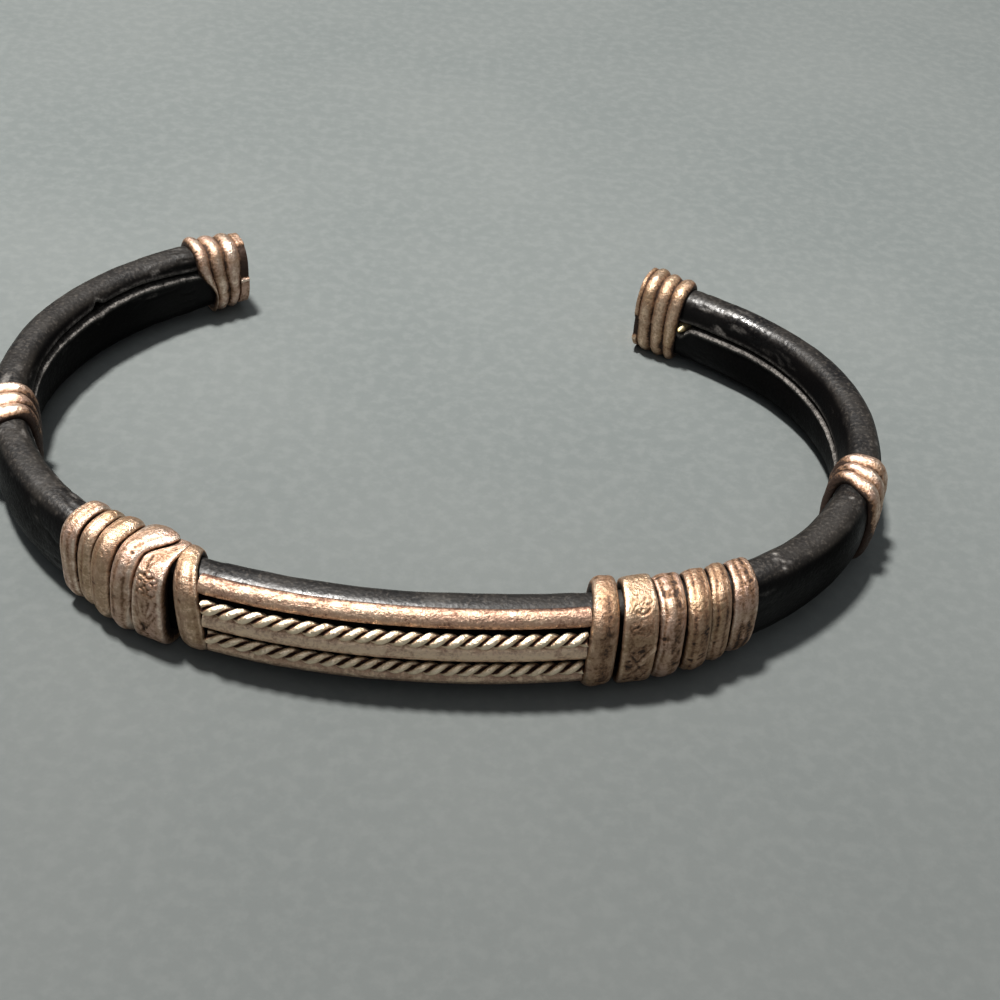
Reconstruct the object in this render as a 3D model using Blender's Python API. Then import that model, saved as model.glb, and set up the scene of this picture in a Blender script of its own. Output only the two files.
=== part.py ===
# Cuff bracelet lying on its side: a leather sleeve closed round a thin brass strip, gripped by
# metal rings, two ribbed collars and two ribbed end caps, with a front panel of wires and ropes.
# Units are metres and +Z is up. The front faces -Y and the gap between the tips faces +Y.

from math import asin, atan2, cos, pi, radians, sin

import bmesh
import bpy
import numpy as np

MM = 0.001

# Length of the band, from the middle of the front to each tip
HALF_LEFT = 67.2 * MM
HALF_RIGHT = 69.8 * MM

# How the band bends: degrees turned in an eighth of the half, at a share of the half
BEND = (
    # share, left, right
    (0.000, 8.0, 8.0),
    (0.125, 11.5, 8.6),
    (0.250, 16.8, 14.5),
    (0.375, 21.7, 21.5),
    (0.500, 24.0, 24.5),
    (0.625, 25.5, 28.2),
    (0.750, 23.6, 32.5),
    (0.875, 18.5, 19.0),
    (1.000, 9.0, -2.0),
)

# Brass strip and the leather sleeve round it
CORE_THICKNESS = 0.5 * MM
CORE_CLEARANCE = 0.3 * MM
LEATHER_HEIGHT = 6.1 * MM
LEATHER_WALL = 1.0 * MM
GRIPPED_WALL = 0.8 * MM
GRIP_RUN = 0.5 * MM
SEAM_OPENING = 0.34 * MM

# Height of the sleeve and of its seam above the middle, as shares of LEATHER_HEIGHT
SLEEVE = (
    # share, left height, right height, left seam, right seam
    (0.00, 1.00, 1.00, 0.00, 0.00),
    (0.34, 1.00, 0.97, 0.00, 0.00),
    (0.42, 1.00, 0.92, 0.02, 0.00),
    (0.55, 1.00, 0.98, 0.06, 0.02),
    (0.70, 1.00, 1.05, 0.09, 0.02),
    (0.93, 0.96, 1.00, 0.06, 0.02),
    (1.00, 0.80, 0.98, 0.04, 0.00),
)

# Clearance between metal and leather, and between one wire and the next
SEAT_GAP = 0.25 * MM
WIRE_GAP = 0.12 * MM

# Front panel: the distance from the middle of the front to the ring on each side of it
PANEL_LEFT = 12.3 * MM
PANEL_RIGHT = 11.5 * MM
PANEL_MARGIN = 0.1 * MM
PANEL_LIFT = 0.2 * MM
WIRE_RISE = 0.60 * MM
ROPE_PITCH = 2.5 * MM

# What lies on the panel from top to bottom, with its share of the panel's height
PANEL = (
    # name, kind, share
    ("wire_top", "wire", 0.240),
    ("rope_upper", "rope", 0.150),
    ("wire_middle", "wire", 0.240),
    ("rope_lower", "rope", 0.150),
    ("wire_bottom", "wire", 0.220),
)

# Rings of the two clusters from the panel outward, in millimetres. The gap lies before the
# ring. Each side of a ring has a lean, a turn and a hook. A lean moves its top away from the
# panel and its bottom toward it. A turn leaves its outer face alone and moves the rest away
# from the panel. A hook moves its top alone toward the panel. The metal is measured over the
# bore: on the outer face, at top and bottom, and on the inner face.
LEFT_RINGS = (
    # name, gap, width, near side, far side, (outer, edge, inner)
    ("ring_left_panel", 0.00, 1.65, (0.80, 0.75, 0.0), (0.50, 0.50, 0.0), (0.90, 0.46, 0.50)),
    ("band_left", 0.95, 1.90, (-0.10, 0.0, 0.0), (-0.60, 0.0, 0.9), (1.10, 0.80, 0.50)),
    ("ring_left_4", 0.30, 1.40, (-0.60, 0.0, 0.9), (-0.55, 0.0, 0.1), (1.20, 0.80, 1.05)),
    ("ring_left_3", 0.30, 1.30, (-0.50, 0.0, 0.1), (-0.35, 0.0, 0.0), (1.00, 0.74, 0.65)),
    ("ring_left_2", 0.30, 0.95, (-0.30, 0.0, 0.0), (-0.20, 0.0, 0.0), (0.65, 0.54, 0.55)),
    ("ring_left_1", 0.30, 1.20, (-0.10, 0.0, 0.0), (0.00, 0.0, 0.0), (0.65, 0.52, 0.55)),
)
RIGHT_RINGS = (
    # name, gap, width, near side, far side, (outer, edge, inner)
    ("ring_right_panel", 0.00, 1.75, (0.10, 0.50, 0.0), (-0.15, 0.45, 0.0), (1.10, 0.80, 1.00)),
    ("band_right", 0.45, 2.05, (-0.20, 0.45, 0.0), (-0.10, 0.35, 0.0), (1.10, 0.75, 0.55)),
    ("ring_right_a", 0.28, 1.55, (-0.10, 0.35, 0.0), (-0.20, 0.50, 0.0), (1.25, 0.60, 0.45)),
    ("ring_right_b", 0.28, 1.50, (-0.30, 0.80, 0.0), (-0.45, 0.85, 0.0), (1.25, 0.50, 0.40)),
    ("ring_right_c", 0.24, 1.40, (-0.50, 0.85, 0.0), (-0.50, 0.75, 0.0), (0.75, 0.48, 0.40)),
    ("ring_right_d", 0.30, 1.75, (-0.40, 0.70, 0.0), (-0.30, 0.60, 0.0), (0.62, 0.36, 0.36)),
)
NAME, GAP, WIDTH, NEAR, FAR, METAL = range(6)
LEAN, TURN, HOOK = range(3)
OUTER, EDGE, INNER = range(3)

# Ribbed collars half way round, from the middle of the front to the collar's middle
COLLAR_LEFT = 36.4 * MM
COLLAR_RIGHT = 38.1 * MM
COLLAR_LENGTH = 4.3 * MM
COLLAR_METAL = 0.52 * MM

# Ribbed end caps
CAP_LEFT_LENGTH = 4.6 * MM
CAP_RIGHT_LENGTH = 3.9 * MM
CAP_METAL = 0.50 * MM
CAP_END_WALL = 0.6 * MM

# Shapes of sections, as shares of the width and of the metal over the bore
OVAL_POWER = 2.8
RIDGE = ((0.0, 0.0), (0.0, 0.50), (0.20, 0.88), (0.50, 1.0), (0.80, 0.88), (1.0, 0.50), (1.0, 0.0))
STRAP = ((0.0, 0.0), (0.0, 0.86), (0.08, 1.0), (0.92, 1.0), (1.0, 0.86), (1.0, 0.0))
RIBS = (
    (0.00, 0.60), (0.09, 0.94), (0.22, 0.96), (0.33, 0.52),
    (0.44, 0.97), (0.56, 0.97), (0.67, 0.52),
    (0.78, 0.96), (0.91, 0.94), (1.00, 0.60),
)
CAP_RIBBED_SHARE = 0.84
CAP_RIM_SHARE = 0.86
CAP_FACE_SHARE = 0.66
ROPE_WAIST = 0.24

# Fineness of the meshes
SLEEVE_STEP = 2.9 * MM
WIRE_STEP = 2.4 * MM
ROPE_STEPS_A_PITCH = 9
OUTER_SIDES = 15
INNER_SIDES = 7
RING_SIDES = 24
ROPE_SIDES = 8
WIRE_SIDES = 5
PLAN_STEPS = 600
SHARP_ANGLE = 38.0

COLOURS = {
    # name: colour, metallic, roughness
    "leather": ((0.012, 0.011, 0.012, 1.0), 0.0, 0.42),
    "bronze": ((0.50, 0.37, 0.29, 1.0), 1.0, 0.36),
    "silver": ((0.72, 0.68, 0.58, 1.0), 1.0, 0.30),
    "brass": ((0.72, 0.50, 0.18, 1.0), 1.0, 0.30),
}


def clear_scene():
    for item in list(bpy.data.objects):
        bpy.data.objects.remove(item, do_unlink=True)


def make_material(name):
    colour, metallic, roughness = COLOURS[name]
    material = bpy.data.materials.new(name)
    material.use_nodes = True
    shader = material.node_tree.nodes["Principled BSDF"]
    shader.inputs["Base Color"].default_value = colour
    shader.inputs["Metallic"].default_value = metallic
    shader.inputs["Roughness"].default_value = roughness
    return material


# The plan curve: its heading and position along a half, found by adding up the bend
def walk_half(length, column):
    along = np.linspace(0.0, length, PLAN_STEPS)
    step = along[1]
    rates = np.interp(along / length, [row[0] for row in BEND], [row[column] for row in BEND])
    turn = np.radians(rates) / (length / 8.0)
    heading = add_up(turn, step)
    return along, heading, add_up(np.cos(heading), step), add_up(np.sin(heading), step)


def add_up(values, step):
    return np.concatenate([[0.0], np.cumsum((values[1:] + values[:-1]) * step / 2.0)])


HALVES = {-1: walk_half(HALF_LEFT, 1), 1: walk_half(HALF_RIGHT, 2)}
LENGTHS = {-1: HALF_LEFT, 1: HALF_RIGHT}
PANEL_ENDS = {-1: PANEL_LEFT, 1: PANEL_RIGHT}
COLLARS = {-1: COLLAR_LEFT, 1: COLLAR_RIGHT}
CAPS = {-1: CAP_LEFT_LENGTH, 1: CAP_RIGHT_LENGTH}
CLUSTERS = {-1: LEFT_RINGS, 1: RIGHT_RINGS}


def side_of(along):
    return -1 if along < 0.0 else 1


def sleeve_share(along, left_column):
    side = side_of(along)
    column = left_column if side < 0 else left_column + 1
    share = abs(along) / LENGTHS[side]
    return float(np.interp(share, [row[0] for row in SLEEVE], [row[column] for row in SLEEVE]))


# A point of the bracelet from its distance along the band, outward from the band's middle
# and up from it. The middle sinks a little towards the tips, so that the panel's rings in
# front and the end caps behind both touch the surface that the bracelet lies on.
def place(along, out, up):
    side = side_of(along)
    distances, headings, xs, ys = HALVES[side]
    distance = abs(along)
    heading = float(np.interp(distance, distances, headings))
    middle_x = float(np.interp(distance, distances, xs))
    middle_y = float(np.interp(distance, distances, ys))
    front = cluster_half_up()
    back = gripped_half_up(HALF_RIGHT) + SEAT_GAP + CAP_METAL
    depth = float(HALVES[-1][3][-1])
    middle_z = front + (back - front) * middle_y / depth
    x = side * (middle_x + sin(heading) * out)
    return (x, middle_y - cos(heading) * out, middle_z + up)


# Where metal grips the leather: 0 beside the metal and 1 under it
def cluster_end(side):
    return PANEL_ENDS[side] + sum(row[GAP] + row[WIDTH] for row in CLUSTERS[side]) * MM


def grip(along):
    side = side_of(along)
    distance = abs(along)
    stretches = (
        (PANEL_ENDS[side], cluster_end(side)),
        (COLLARS[side] - COLLAR_LENGTH / 2.0, COLLARS[side] + COLLAR_LENGTH / 2.0),
        (LENGTHS[side] - CAPS[side], LENGTHS[side] + GRIP_RUN),
    )
    inside = max(min(distance - low, high - distance) for low, high in stretches)
    return min(1.0, max(0.0, inside / GRIP_RUN + 1.0))


def wall_at(along):
    return LEATHER_WALL - (LEATHER_WALL - GRIPPED_WALL) * grip(along)


def sleeve_half_out(along):
    return CORE_THICKNESS / 2.0 + CORE_CLEARANCE + wall_at(along)


def sleeve_half_up(along):
    return LEATHER_HEIGHT * sleeve_share(along, 1) / 2.0 - (LEATHER_WALL - wall_at(along))


def gripped_half_out():
    return CORE_THICKNESS / 2.0 + CORE_CLEARANCE + GRIPPED_WALL


def gripped_half_up(along):
    return LEATHER_HEIGHT * sleeve_share(along, 1) / 2.0 - (LEATHER_WALL - GRIPPED_WALL)


def core_half_up():
    lowest = min(min(row[1], row[2]) for row in SLEEVE)
    return LEATHER_HEIGHT * lowest / 2.0 - LEATHER_WALL - CORE_CLEARANCE


def free_half_out():
    return CORE_THICKNESS / 2.0 + CORE_CLEARANCE + LEATHER_WALL


def cluster_half_up():
    thickest = max(row[METAL][EDGE] for row in LEFT_RINGS + RIGHT_RINGS)
    return gripped_half_up(0.0) + SEAT_GAP + thickest * MM


# A point of an oval, with its own reach outward, inward and up
def oval_point(angle, reach_out, reach_in, reach_up):
    c = cos(angle)
    s = sin(angle)
    out = abs(c) ** (2.0 / OVAL_POWER) * (reach_out if c > 0.0 else -reach_in)
    up = abs(s) ** (2.0 / OVAL_POWER) * (reach_up if s > 0.0 else -reach_up)
    return out, up


# Angle at which an oval's outer quarter is at a height, given as a share of its reach up
def oval_angle(share):
    angle = asin(min(1.0, abs(share)) ** (OVAL_POWER / 2.0))
    return angle if share > 0.0 else -angle


def finish(name, bm, material, parent):
    bmesh.ops.recalc_face_normals(bm, faces=bm.faces)
    bmesh.ops.triangulate(bm, faces=[face for face in bm.faces if len(face.verts) > 4])
    mesh = bpy.data.meshes.new(name)
    bm.to_mesh(mesh)
    bm.free()
    mesh.shade_smooth()
    mesh.set_sharp_from_angle(angle=radians(SHARP_ANGLE))
    mesh.materials.append(material)
    body = bpy.data.objects.new(name, mesh)
    bpy.context.collection.objects.link(body)
    body.parent = parent
    return body


# A body from closed rows of points: a tube with two flat ends, or a ring if it is joined
def body_from_rows(name, rows, material, parent, joined=False):
    bm = bmesh.new()
    grid = [[bm.verts.new(point) for point in row] for row in rows]
    pairs = list(zip(grid, grid[1:]))
    if joined:
        pairs.append((grid[-1], grid[0]))
    sides = len(grid[0])
    for near, far in pairs:
        for j in range(sides):
            k = (j + 1) % sides
            bm.faces.new((near[j], near[k], far[k], far[j]))
    if not joined:
        bm.faces.new(grid[0])
        bm.faces.new(list(reversed(grid[-1])))
    return finish(name, bm, material, parent)


# Distances along the band at which the sleeve and its strip have a section
def stations(low, high, step):
    count = int(round((high - low) / step))
    marks = [low + (high - low) * i / count for i in range(count + 1)]
    for side in (-1, 1):
        half_collar = COLLAR_LENGTH / 2.0
        starts = (PANEL_ENDS[side], COLLARS[side] - half_collar, LENGTHS[side] - CAPS[side])
        stops = (cluster_end(side), COLLARS[side] + half_collar)
        edges = [at - shift for at in starts for shift in (GRIP_RUN, 0.0)]
        edges += [at + shift for at in stops for shift in (GRIP_RUN, 0.0)]
        edges = [side * at for at in edges]
        marks = [at for at in marks if at in (low, high) or near_none(at, edges, step / 3.0)]
        marks += edges
    return sorted(marks)


def near_none(at, others, distance):
    return all(abs(at - other) > distance for other in others)


# Leather sleeve: a rounded tube that is open along its seam on the inner face
def sleeve_section(along):
    reach_out = sleeve_half_out(along)
    reach_up = sleeve_half_up(along)
    wall = wall_at(along)
    seam = LEATHER_HEIGHT * sleeve_share(along, 3)
    section = lip_to_lip(seam, reach_out, reach_up, OUTER_SIDES)
    section += reversed(lip_to_lip(seam, reach_out - wall, reach_up - wall, INNER_SIDES))
    return [place(along, out, up) for out, up in section]


def lip_to_lip(seam, reach_out, reach_up, sides):
    upper = oval_angle((seam + SEAM_OPENING / 2.0) / reach_up)
    lower = oval_angle((seam - SEAM_OPENING / 2.0) / reach_up)
    angles = np.linspace(pi - upper, -pi - lower, sides + 1)
    return [oval_point(angle, reach_out, reach_out, reach_up) for angle in angles]


def add_sleeve(material, parent):
    margin = CAP_END_WALL + SEAT_GAP
    marks = stations(margin - HALF_LEFT, HALF_RIGHT - margin, SLEEVE_STEP)
    rows = [sleeve_section(along) for along in marks]
    body_from_rows("leather_sleeve", rows, material, parent)


# Brass strip inside the sleeve, which shows through the seam
def add_core(material, parent):
    margin = CAP_END_WALL + 2.0 * SEAT_GAP
    half_out = CORE_THICKNESS / 2.0
    half_up = core_half_up()
    corners = ((half_out, -half_up), (half_out, half_up), (-half_out, half_up), (-half_out, -half_up))
    low = margin - HALF_LEFT
    high = HALF_RIGHT - margin
    count = int(round((high - low) / SLEEVE_STEP))
    rows = []
    for i in range(count + 1):
        along = low + (high - low) * i / count
        rows.append([place(along, out, up) for out, up in corners])
    body_from_rows("core_strip", rows, material, parent)


# A place on a ring's side, moved by the side's lean, turn and hook
def tilted(along, side, height, depth):
    along += side[LEAN] * MM / 2.0 * height
    along += side[TURN] * MM * (1.0 - depth)
    return along - side[HOOK] * MM * max(0.0, height) ** 2


# Rings round the sleeve
def ring_rows(side, start, row):
    bore_out = gripped_half_out() + SEAT_GAP
    bore_up = gripped_half_up(side * start) + SEAT_GAP
    outer, edge, inner = (metal * MM for metal in row[METAL])
    end = start + row[WIDTH] * MM
    rows = []
    for share, lift in STRAP if row[NAME].startswith("band") else RIDGE:
        points = []
        for i in range(RING_SIDES):
            angle = 2.0 * pi * (i + 0.5) / RING_SIDES
            reach_out = bore_out + lift * outer
            reach_up = bore_up + lift * edge
            out, up = oval_point(angle, reach_out, bore_out + lift * inner, reach_up)
            height = up / (bore_up + edge)
            depth = out / (bore_out + outer)
            near = tilted(start, row[NEAR], height, depth)
            far = tilted(end, row[FAR], height, depth)
            points.append(place(side * (near + (far - near) * share), out, up))
        rows.append(points)
    return rows


def add_cluster(side, material, parent):
    start = PANEL_ENDS[side]
    for row in CLUSTERS[side]:
        start += row[GAP] * MM
        body_from_rows(row[NAME], ring_rows(side, start, row), material, parent, joined=True)
        start += row[WIDTH] * MM


# Ribbed collar: one piece of metal with three round ribs
def ribbed_rows(side, start, length, metal, profile):
    rows = []
    for share, lift in profile:
        along = side * (start + share * length)
        reach_out = gripped_half_out() + SEAT_GAP + lift * metal
        reach_up = gripped_half_up(along) + SEAT_GAP + lift * metal
        points = []
        for i in range(RING_SIDES):
            angle = 2.0 * pi * (i + 0.5) / RING_SIDES
            out, up = oval_point(angle, reach_out, reach_out, reach_up)
            points.append(place(along, out, up))
        rows.append(points)
    return rows


def add_collar(side, name, material, parent):
    start = COLLARS[side] - COLLAR_LENGTH / 2.0
    profile = ((0.0, 0.0),) + RIBS + ((1.0, 0.0),)
    rows = ribbed_rows(side, start, COLLAR_LENGTH, COLLAR_METAL, profile)
    body_from_rows(name, rows, material, parent, joined=True)


# End cap: a ribbed cup over the tip, closed by a flat end plate
def add_cap(side, name, material, parent):
    start = LENGTHS[side] - CAPS[side]
    floor = 1.0 - CAP_END_WALL / CAPS[side]
    ribs = tuple((share * CAP_RIBBED_SHARE, lift) for share, lift in RIBS)
    rim = ((CAP_RIBBED_SHARE + 0.03, CAP_RIM_SHARE), (0.975, CAP_RIM_SHARE), (1.0, CAP_FACE_SHARE))
    profile = ((floor, 0.0), (0.0, 0.0)) + ribs + rim
    rows = ribbed_rows(side, start, CAPS[side], CAP_METAL, profile)
    body_from_rows(name, rows, material, parent)


# Front panel. A wire or rope sits on the sleeve's outer face at its own height.
def sleeve_surface(up):
    half_up = LEATHER_HEIGHT / 2.0
    half_out = free_half_out()
    share = min(0.98, abs(up) / half_up)
    out = half_out * (1.0 - share ** OVAL_POWER) ** (1.0 / OVAL_POWER)
    fall = half_out / half_up * share ** (OVAL_POWER - 1.0) * (out / half_out) ** (1.0 - OVAL_POWER)
    tilt = atan2(fall, 1.0)
    return out, tilt if up > 0.0 else -tilt


def panel_layout():
    height = LEATHER_HEIGHT - PANEL_MARGIN
    metal = height - WIRE_GAP * (len(PANEL) - 1)
    top = height / 2.0 + PANEL_LIFT
    layout = []
    for name, kind, share in PANEL:
        size = share * metal
        layout.append((name, kind, top - size / 2.0, size))
        top -= size + WIRE_GAP
    return layout


# A wire or rope ends a little before the ring at each end of the panel
def panel_ends(out, up):
    ends = []
    for side in (-1, 1):
        ring = CLUSTERS[side][0]
        height = up / (gripped_half_up(0.0) + SEAT_GAP + ring[METAL][EDGE] * MM)
        depth = out / (gripped_half_out() + SEAT_GAP + ring[METAL][OUTER] * MM)
        ends.append(side * (tilted(PANEL_ENDS[side], ring[NEAR], height, depth) - WIRE_GAP))
    return ends


def add_wire(name, up, size, material, parent):
    out, tilt = sleeve_surface(up)
    low, high = panel_ends(out + WIRE_GAP + WIRE_RISE, up)
    count = int(round((high - low) / WIRE_STEP))
    rows = []
    for i in range(count + 1):
        along = low + (high - low) * i / count
        points = []
        for j in range(WIRE_SIDES + 1):
            angle = -pi / 2.0 + pi * j / WIRE_SIDES
            rise = WIRE_GAP + WIRE_RISE * cos(angle)
            across = size / 2.0 * sin(angle)
            point_out = out + rise * cos(tilt) - across * sin(tilt)
            point_up = up + rise * sin(tilt) + across * cos(tilt)
            points.append(place(along, point_out, point_up))
        rows.append(points)
    body_from_rows(name, rows, material, parent)


# Two strands twisted into a rope: a section with two lobes that turns as it goes
def add_rope(name, up, size, material, parent):
    out, tilt = sleeve_surface(up)
    rise = WIRE_GAP + size / 2.0
    centre_out = out + rise * cos(tilt)
    centre_up = up + rise * sin(tilt)
    low, high = panel_ends(centre_out + size / 2.0, up)
    count = int(round((high - low) / ROPE_PITCH * ROPE_STEPS_A_PITCH))
    rows = []
    for i in range(count + 1):
        along = low + (high - low) * i / count
        twist = 2.0 * pi * along / ROPE_PITCH
        points = []
        for j in range(ROPE_SIDES):
            angle = 2.0 * pi * j / ROPE_SIDES
            radius = size / 2.0 * (1.0 - ROPE_WAIST + ROPE_WAIST * cos(2.0 * angle))
            point_out = centre_out + radius * cos(angle + twist)
            point_up = centre_up + radius * sin(angle + twist)
            points.append(place(along, point_out, point_up))
        rows.append(points)
    body_from_rows(name, rows, material, parent)


def add_panel(wire_material, rope_material, parent):
    for name, kind, up, size in panel_layout():
        if kind == "wire":
            add_wire(name, up, size, wire_material, parent)
        else:
            add_rope(name, up, size, rope_material, parent)


# The origin is under the middle of the bracelet, on the surface that it lies on
def centre_on_origin(root):
    points = [vertex.co for child in root.children for vertex in child.data.vertices]
    low = [min(point[axis] for point in points) for axis in range(3)]
    high = [max(point[axis] for point in points) for axis in range(3)]
    root.location = (-(low[0] + high[0]) / 2.0, -(low[1] + high[1]) / 2.0, -low[2])


def main():
    clear_scene()
    materials = {name: make_material(name) for name in COLOURS}
    root = bpy.data.objects.new("cuff", None)
    bpy.context.collection.objects.link(root)
    add_sleeve(materials["leather"], root)
    add_core(materials["brass"], root)
    add_panel(materials["bronze"], materials["silver"], root)
    add_cluster(-1, materials["bronze"], root)
    add_cluster(1, materials["bronze"], root)
    add_collar(-1, "collar_left", materials["bronze"], root)
    add_collar(1, "collar_right", materials["bronze"], root)
    add_cap(-1, "end_cap_left", materials["bronze"], root)
    add_cap(1, "end_cap_right", materials["bronze"], root)
    centre_on_origin(root)


main()
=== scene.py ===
# Looks of the cuff bracelet: hand-made leather, rings, stamped bands, wires and twisted ropes,
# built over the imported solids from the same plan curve. Sizes are in millimetres unless a
# name says otherwise.
from math import cos, pi, radians, sin

import bpy
import numpy as np
from mathutils import Matrix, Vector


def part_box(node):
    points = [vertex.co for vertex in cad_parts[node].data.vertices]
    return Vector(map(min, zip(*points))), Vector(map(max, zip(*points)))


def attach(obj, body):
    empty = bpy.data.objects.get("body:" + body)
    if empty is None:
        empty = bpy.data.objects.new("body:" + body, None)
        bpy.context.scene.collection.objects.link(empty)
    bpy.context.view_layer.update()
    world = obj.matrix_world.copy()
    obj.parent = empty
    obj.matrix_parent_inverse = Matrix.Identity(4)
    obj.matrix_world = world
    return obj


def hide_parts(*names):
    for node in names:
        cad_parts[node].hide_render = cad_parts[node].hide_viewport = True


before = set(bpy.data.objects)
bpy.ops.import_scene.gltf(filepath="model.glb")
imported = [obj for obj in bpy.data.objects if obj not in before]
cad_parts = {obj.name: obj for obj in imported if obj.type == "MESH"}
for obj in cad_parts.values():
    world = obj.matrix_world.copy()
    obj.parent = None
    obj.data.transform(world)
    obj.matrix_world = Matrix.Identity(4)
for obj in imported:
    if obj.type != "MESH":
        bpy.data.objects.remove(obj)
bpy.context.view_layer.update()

MM = 0.001

# Plan curve: degrees turned in an eighth of the half, at a share of the half
HALF_LEFT = 67.2
HALF_RIGHT = 69.8
BEND = (
    # share, left, right
    (0.000, 8.0, 8.0),
    (0.125, 11.5, 8.6),
    (0.250, 16.8, 14.5),
    (0.375, 21.7, 21.5),
    (0.500, 24.0, 24.5),
    (0.625, 25.5, 28.2),
    (0.750, 23.6, 32.5),
    (0.875, 18.5, 19.0),
    (1.000, 9.0, -2.0),
)

# Leather and strip
CORE_THICKNESS = 0.5
CORE_CLEARANCE = 0.3
LEATHER_HEIGHT = 6.1
LEATHER_WALL = 1.0
GRIPPED_WALL = 0.8
GRIP_RUN = 0.5
GRIP_SEEN = 0.3
SEAM_OPENING = 0.20
SLEEVE = (
    # share, left height, right height, left seam, right seam
    (0.00, 1.00, 1.00, 0.00, 0.00),
    (0.34, 1.00, 0.97, 0.02, 0.00),
    (0.42, 1.00, 0.92, 0.06, 0.00),
    (0.55, 1.00, 0.98, 0.17, 0.03),
    (0.70, 1.00, 1.05, 0.26, 0.08),
    (0.85, 0.97, 1.02, 0.27, 0.13),
    (0.93, 0.96, 1.00, 0.22, 0.12),
    (1.00, 0.80, 0.98, 0.16, 0.10),
)
SEAT_GAP = 0.25
WIRE_GAP = 0.12

# Front panel
PANEL_LEFT = 12.3
PANEL_RIGHT = 11.5
PANEL_MARGIN = 0.1
PANEL_LIFT = 0.2
WIRE_RISE = 0.60
PANEL = (
    # name, kind, share
    ("wire_top", "wire", 0.240),
    ("rope_upper", "rope", 0.150),
    ("wire_middle", "wire", 0.240),
    ("rope_lower", "rope", 0.150),
    ("wire_bottom", "wire", 0.220),
)

# Rings: each side has a lean, a turn and a hook, and the metal's thickness is given at the
# outer face, at top and bottom, and at the inner face
LEFT_RINGS = (
    # name, gap, width, near side, far side, (outer, edge, inner)
    ("ring_left_panel", 0.00, 1.65, (0.80, 0.75, 0.0), (0.50, 0.50, 0.0), (0.90, 0.46, 0.50)),
    ("band_left", 0.95, 1.90, (-0.10, 0.0, 0.35), (-0.60, 0.0, 2.00), (1.10, 0.80, 0.50)),
    ("ring_left_4", 0.30, 1.40, (-0.60, 0.0, 1.72), (-0.55, 0.0, 0.25), (1.20, 0.80, 1.05)),
    ("ring_left_3", 0.30, 1.30, (-0.50, 0.0, 0.25), (-0.35, 0.0, 0.0), (1.00, 0.74, 0.65)),
    ("ring_left_2", 0.30, 0.95, (-0.30, 0.0, 0.0), (-0.20, 0.0, 0.0), (0.65, 0.54, 0.55)),
    ("ring_left_1", 0.30, 1.20, (-0.10, 0.0, 0.0), (0.00, 0.0, 0.0), (0.65, 0.52, 0.55)),
)
RIGHT_RINGS = (
    # name, gap, width, near side, far side, (outer, edge, inner)
    ("ring_right_panel", 0.00, 1.75, (0.10, 0.50, 0.0), (-0.15, 0.45, 0.0), (1.10, 0.80, 1.00)),
    ("band_right", 0.45, 2.05, (-0.20, 0.45, 0.0), (-0.10, 0.35, 0.0), (1.10, 0.75, 0.55)),
    ("ring_right_a", 0.28, 1.55, (-0.10, 0.35, 0.0), (-0.24, 0.66, 0.0), (1.25, 0.60, 0.45)),
    ("ring_right_b", 0.28, 1.50, (-0.28, 0.70, 0.0), (-0.45, 0.85, 0.0), (1.25, 0.50, 0.40)),
    ("ring_right_c", 0.24, 1.40, (-0.50, 0.85, 0.0), (-0.50, 0.75, 0.0), (0.75, 0.48, 0.40)),
    ("ring_right_d", 0.30, 1.75, (-0.40, 0.70, 0.0), (-0.30, 0.60, 0.0), (0.62, 0.36, 0.36)),
)
NAME, GAP, WIDTH, NEAR, FAR, METAL = range(6)
LEAN, TURN, HOOK = range(3)
OUTER, EDGE = range(2)

COLLAR_LEFT = 36.4
COLLAR_RIGHT = 38.1
COLLAR_LENGTH = 4.3
COLLAR_METAL = 0.52
CAP_LEFT_LENGTH = 4.6
CAP_RIGHT_LENGTH = 3.9
CAP_METAL = 0.50
CAP_END_WALL = 0.6
OVAL_POWER = 2.8
PLAN_STEPS = 1200
FINE_STEPS = 4001
STRIP_STEPS = 4000
FLOOR_CLEARANCE = 0.005
HEADROOM = 0.08
# More than any distance that is looked for
FAR_OFF = 9.0


def add_up(values, step):
    return np.concatenate([[0.0], np.cumsum((values[1:] + values[:-1]) * step / 2.0)])


def walk_half(length, column):
    along = np.linspace(0.0, length, PLAN_STEPS)
    rates = np.interp(along / length, [row[0] for row in BEND], [row[column] for row in BEND])
    heading = add_up(np.radians(rates) / (length / 8.0), along[1])
    return along, heading, add_up(np.cos(heading), along[1]), add_up(np.sin(heading), along[1])


HALVES = {-1: walk_half(HALF_LEFT, 1), 1: walk_half(HALF_RIGHT, 2)}
LENGTHS = {-1: HALF_LEFT, 1: HALF_RIGHT}
PANEL_ENDS = {-1: PANEL_LEFT, 1: PANEL_RIGHT}
COLLARS = {-1: COLLAR_LEFT, 1: COLLAR_RIGHT}
CAPS = {-1: CAP_LEFT_LENGTH, 1: CAP_RIGHT_LENGTH}
CLUSTERS = {-1: LEFT_RINGS, 1: RIGHT_RINGS}


def sleeve_share(along, left_column):
    share_left = np.clip(-along / HALF_LEFT, 0.0, 1.0)
    share_right = np.clip(along / HALF_RIGHT, 0.0, 1.0)
    shares = [row[0] for row in SLEEVE]
    left = np.interp(share_left, shares, [row[left_column] for row in SLEEVE])
    right = np.interp(share_right, shares, [row[left_column + 1] for row in SLEEVE])
    return np.where(along < 0.0, left, right)


def cluster_end(side):
    return PANEL_ENDS[side] + sum(row[GAP] + row[WIDTH] for row in CLUSTERS[side])


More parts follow.
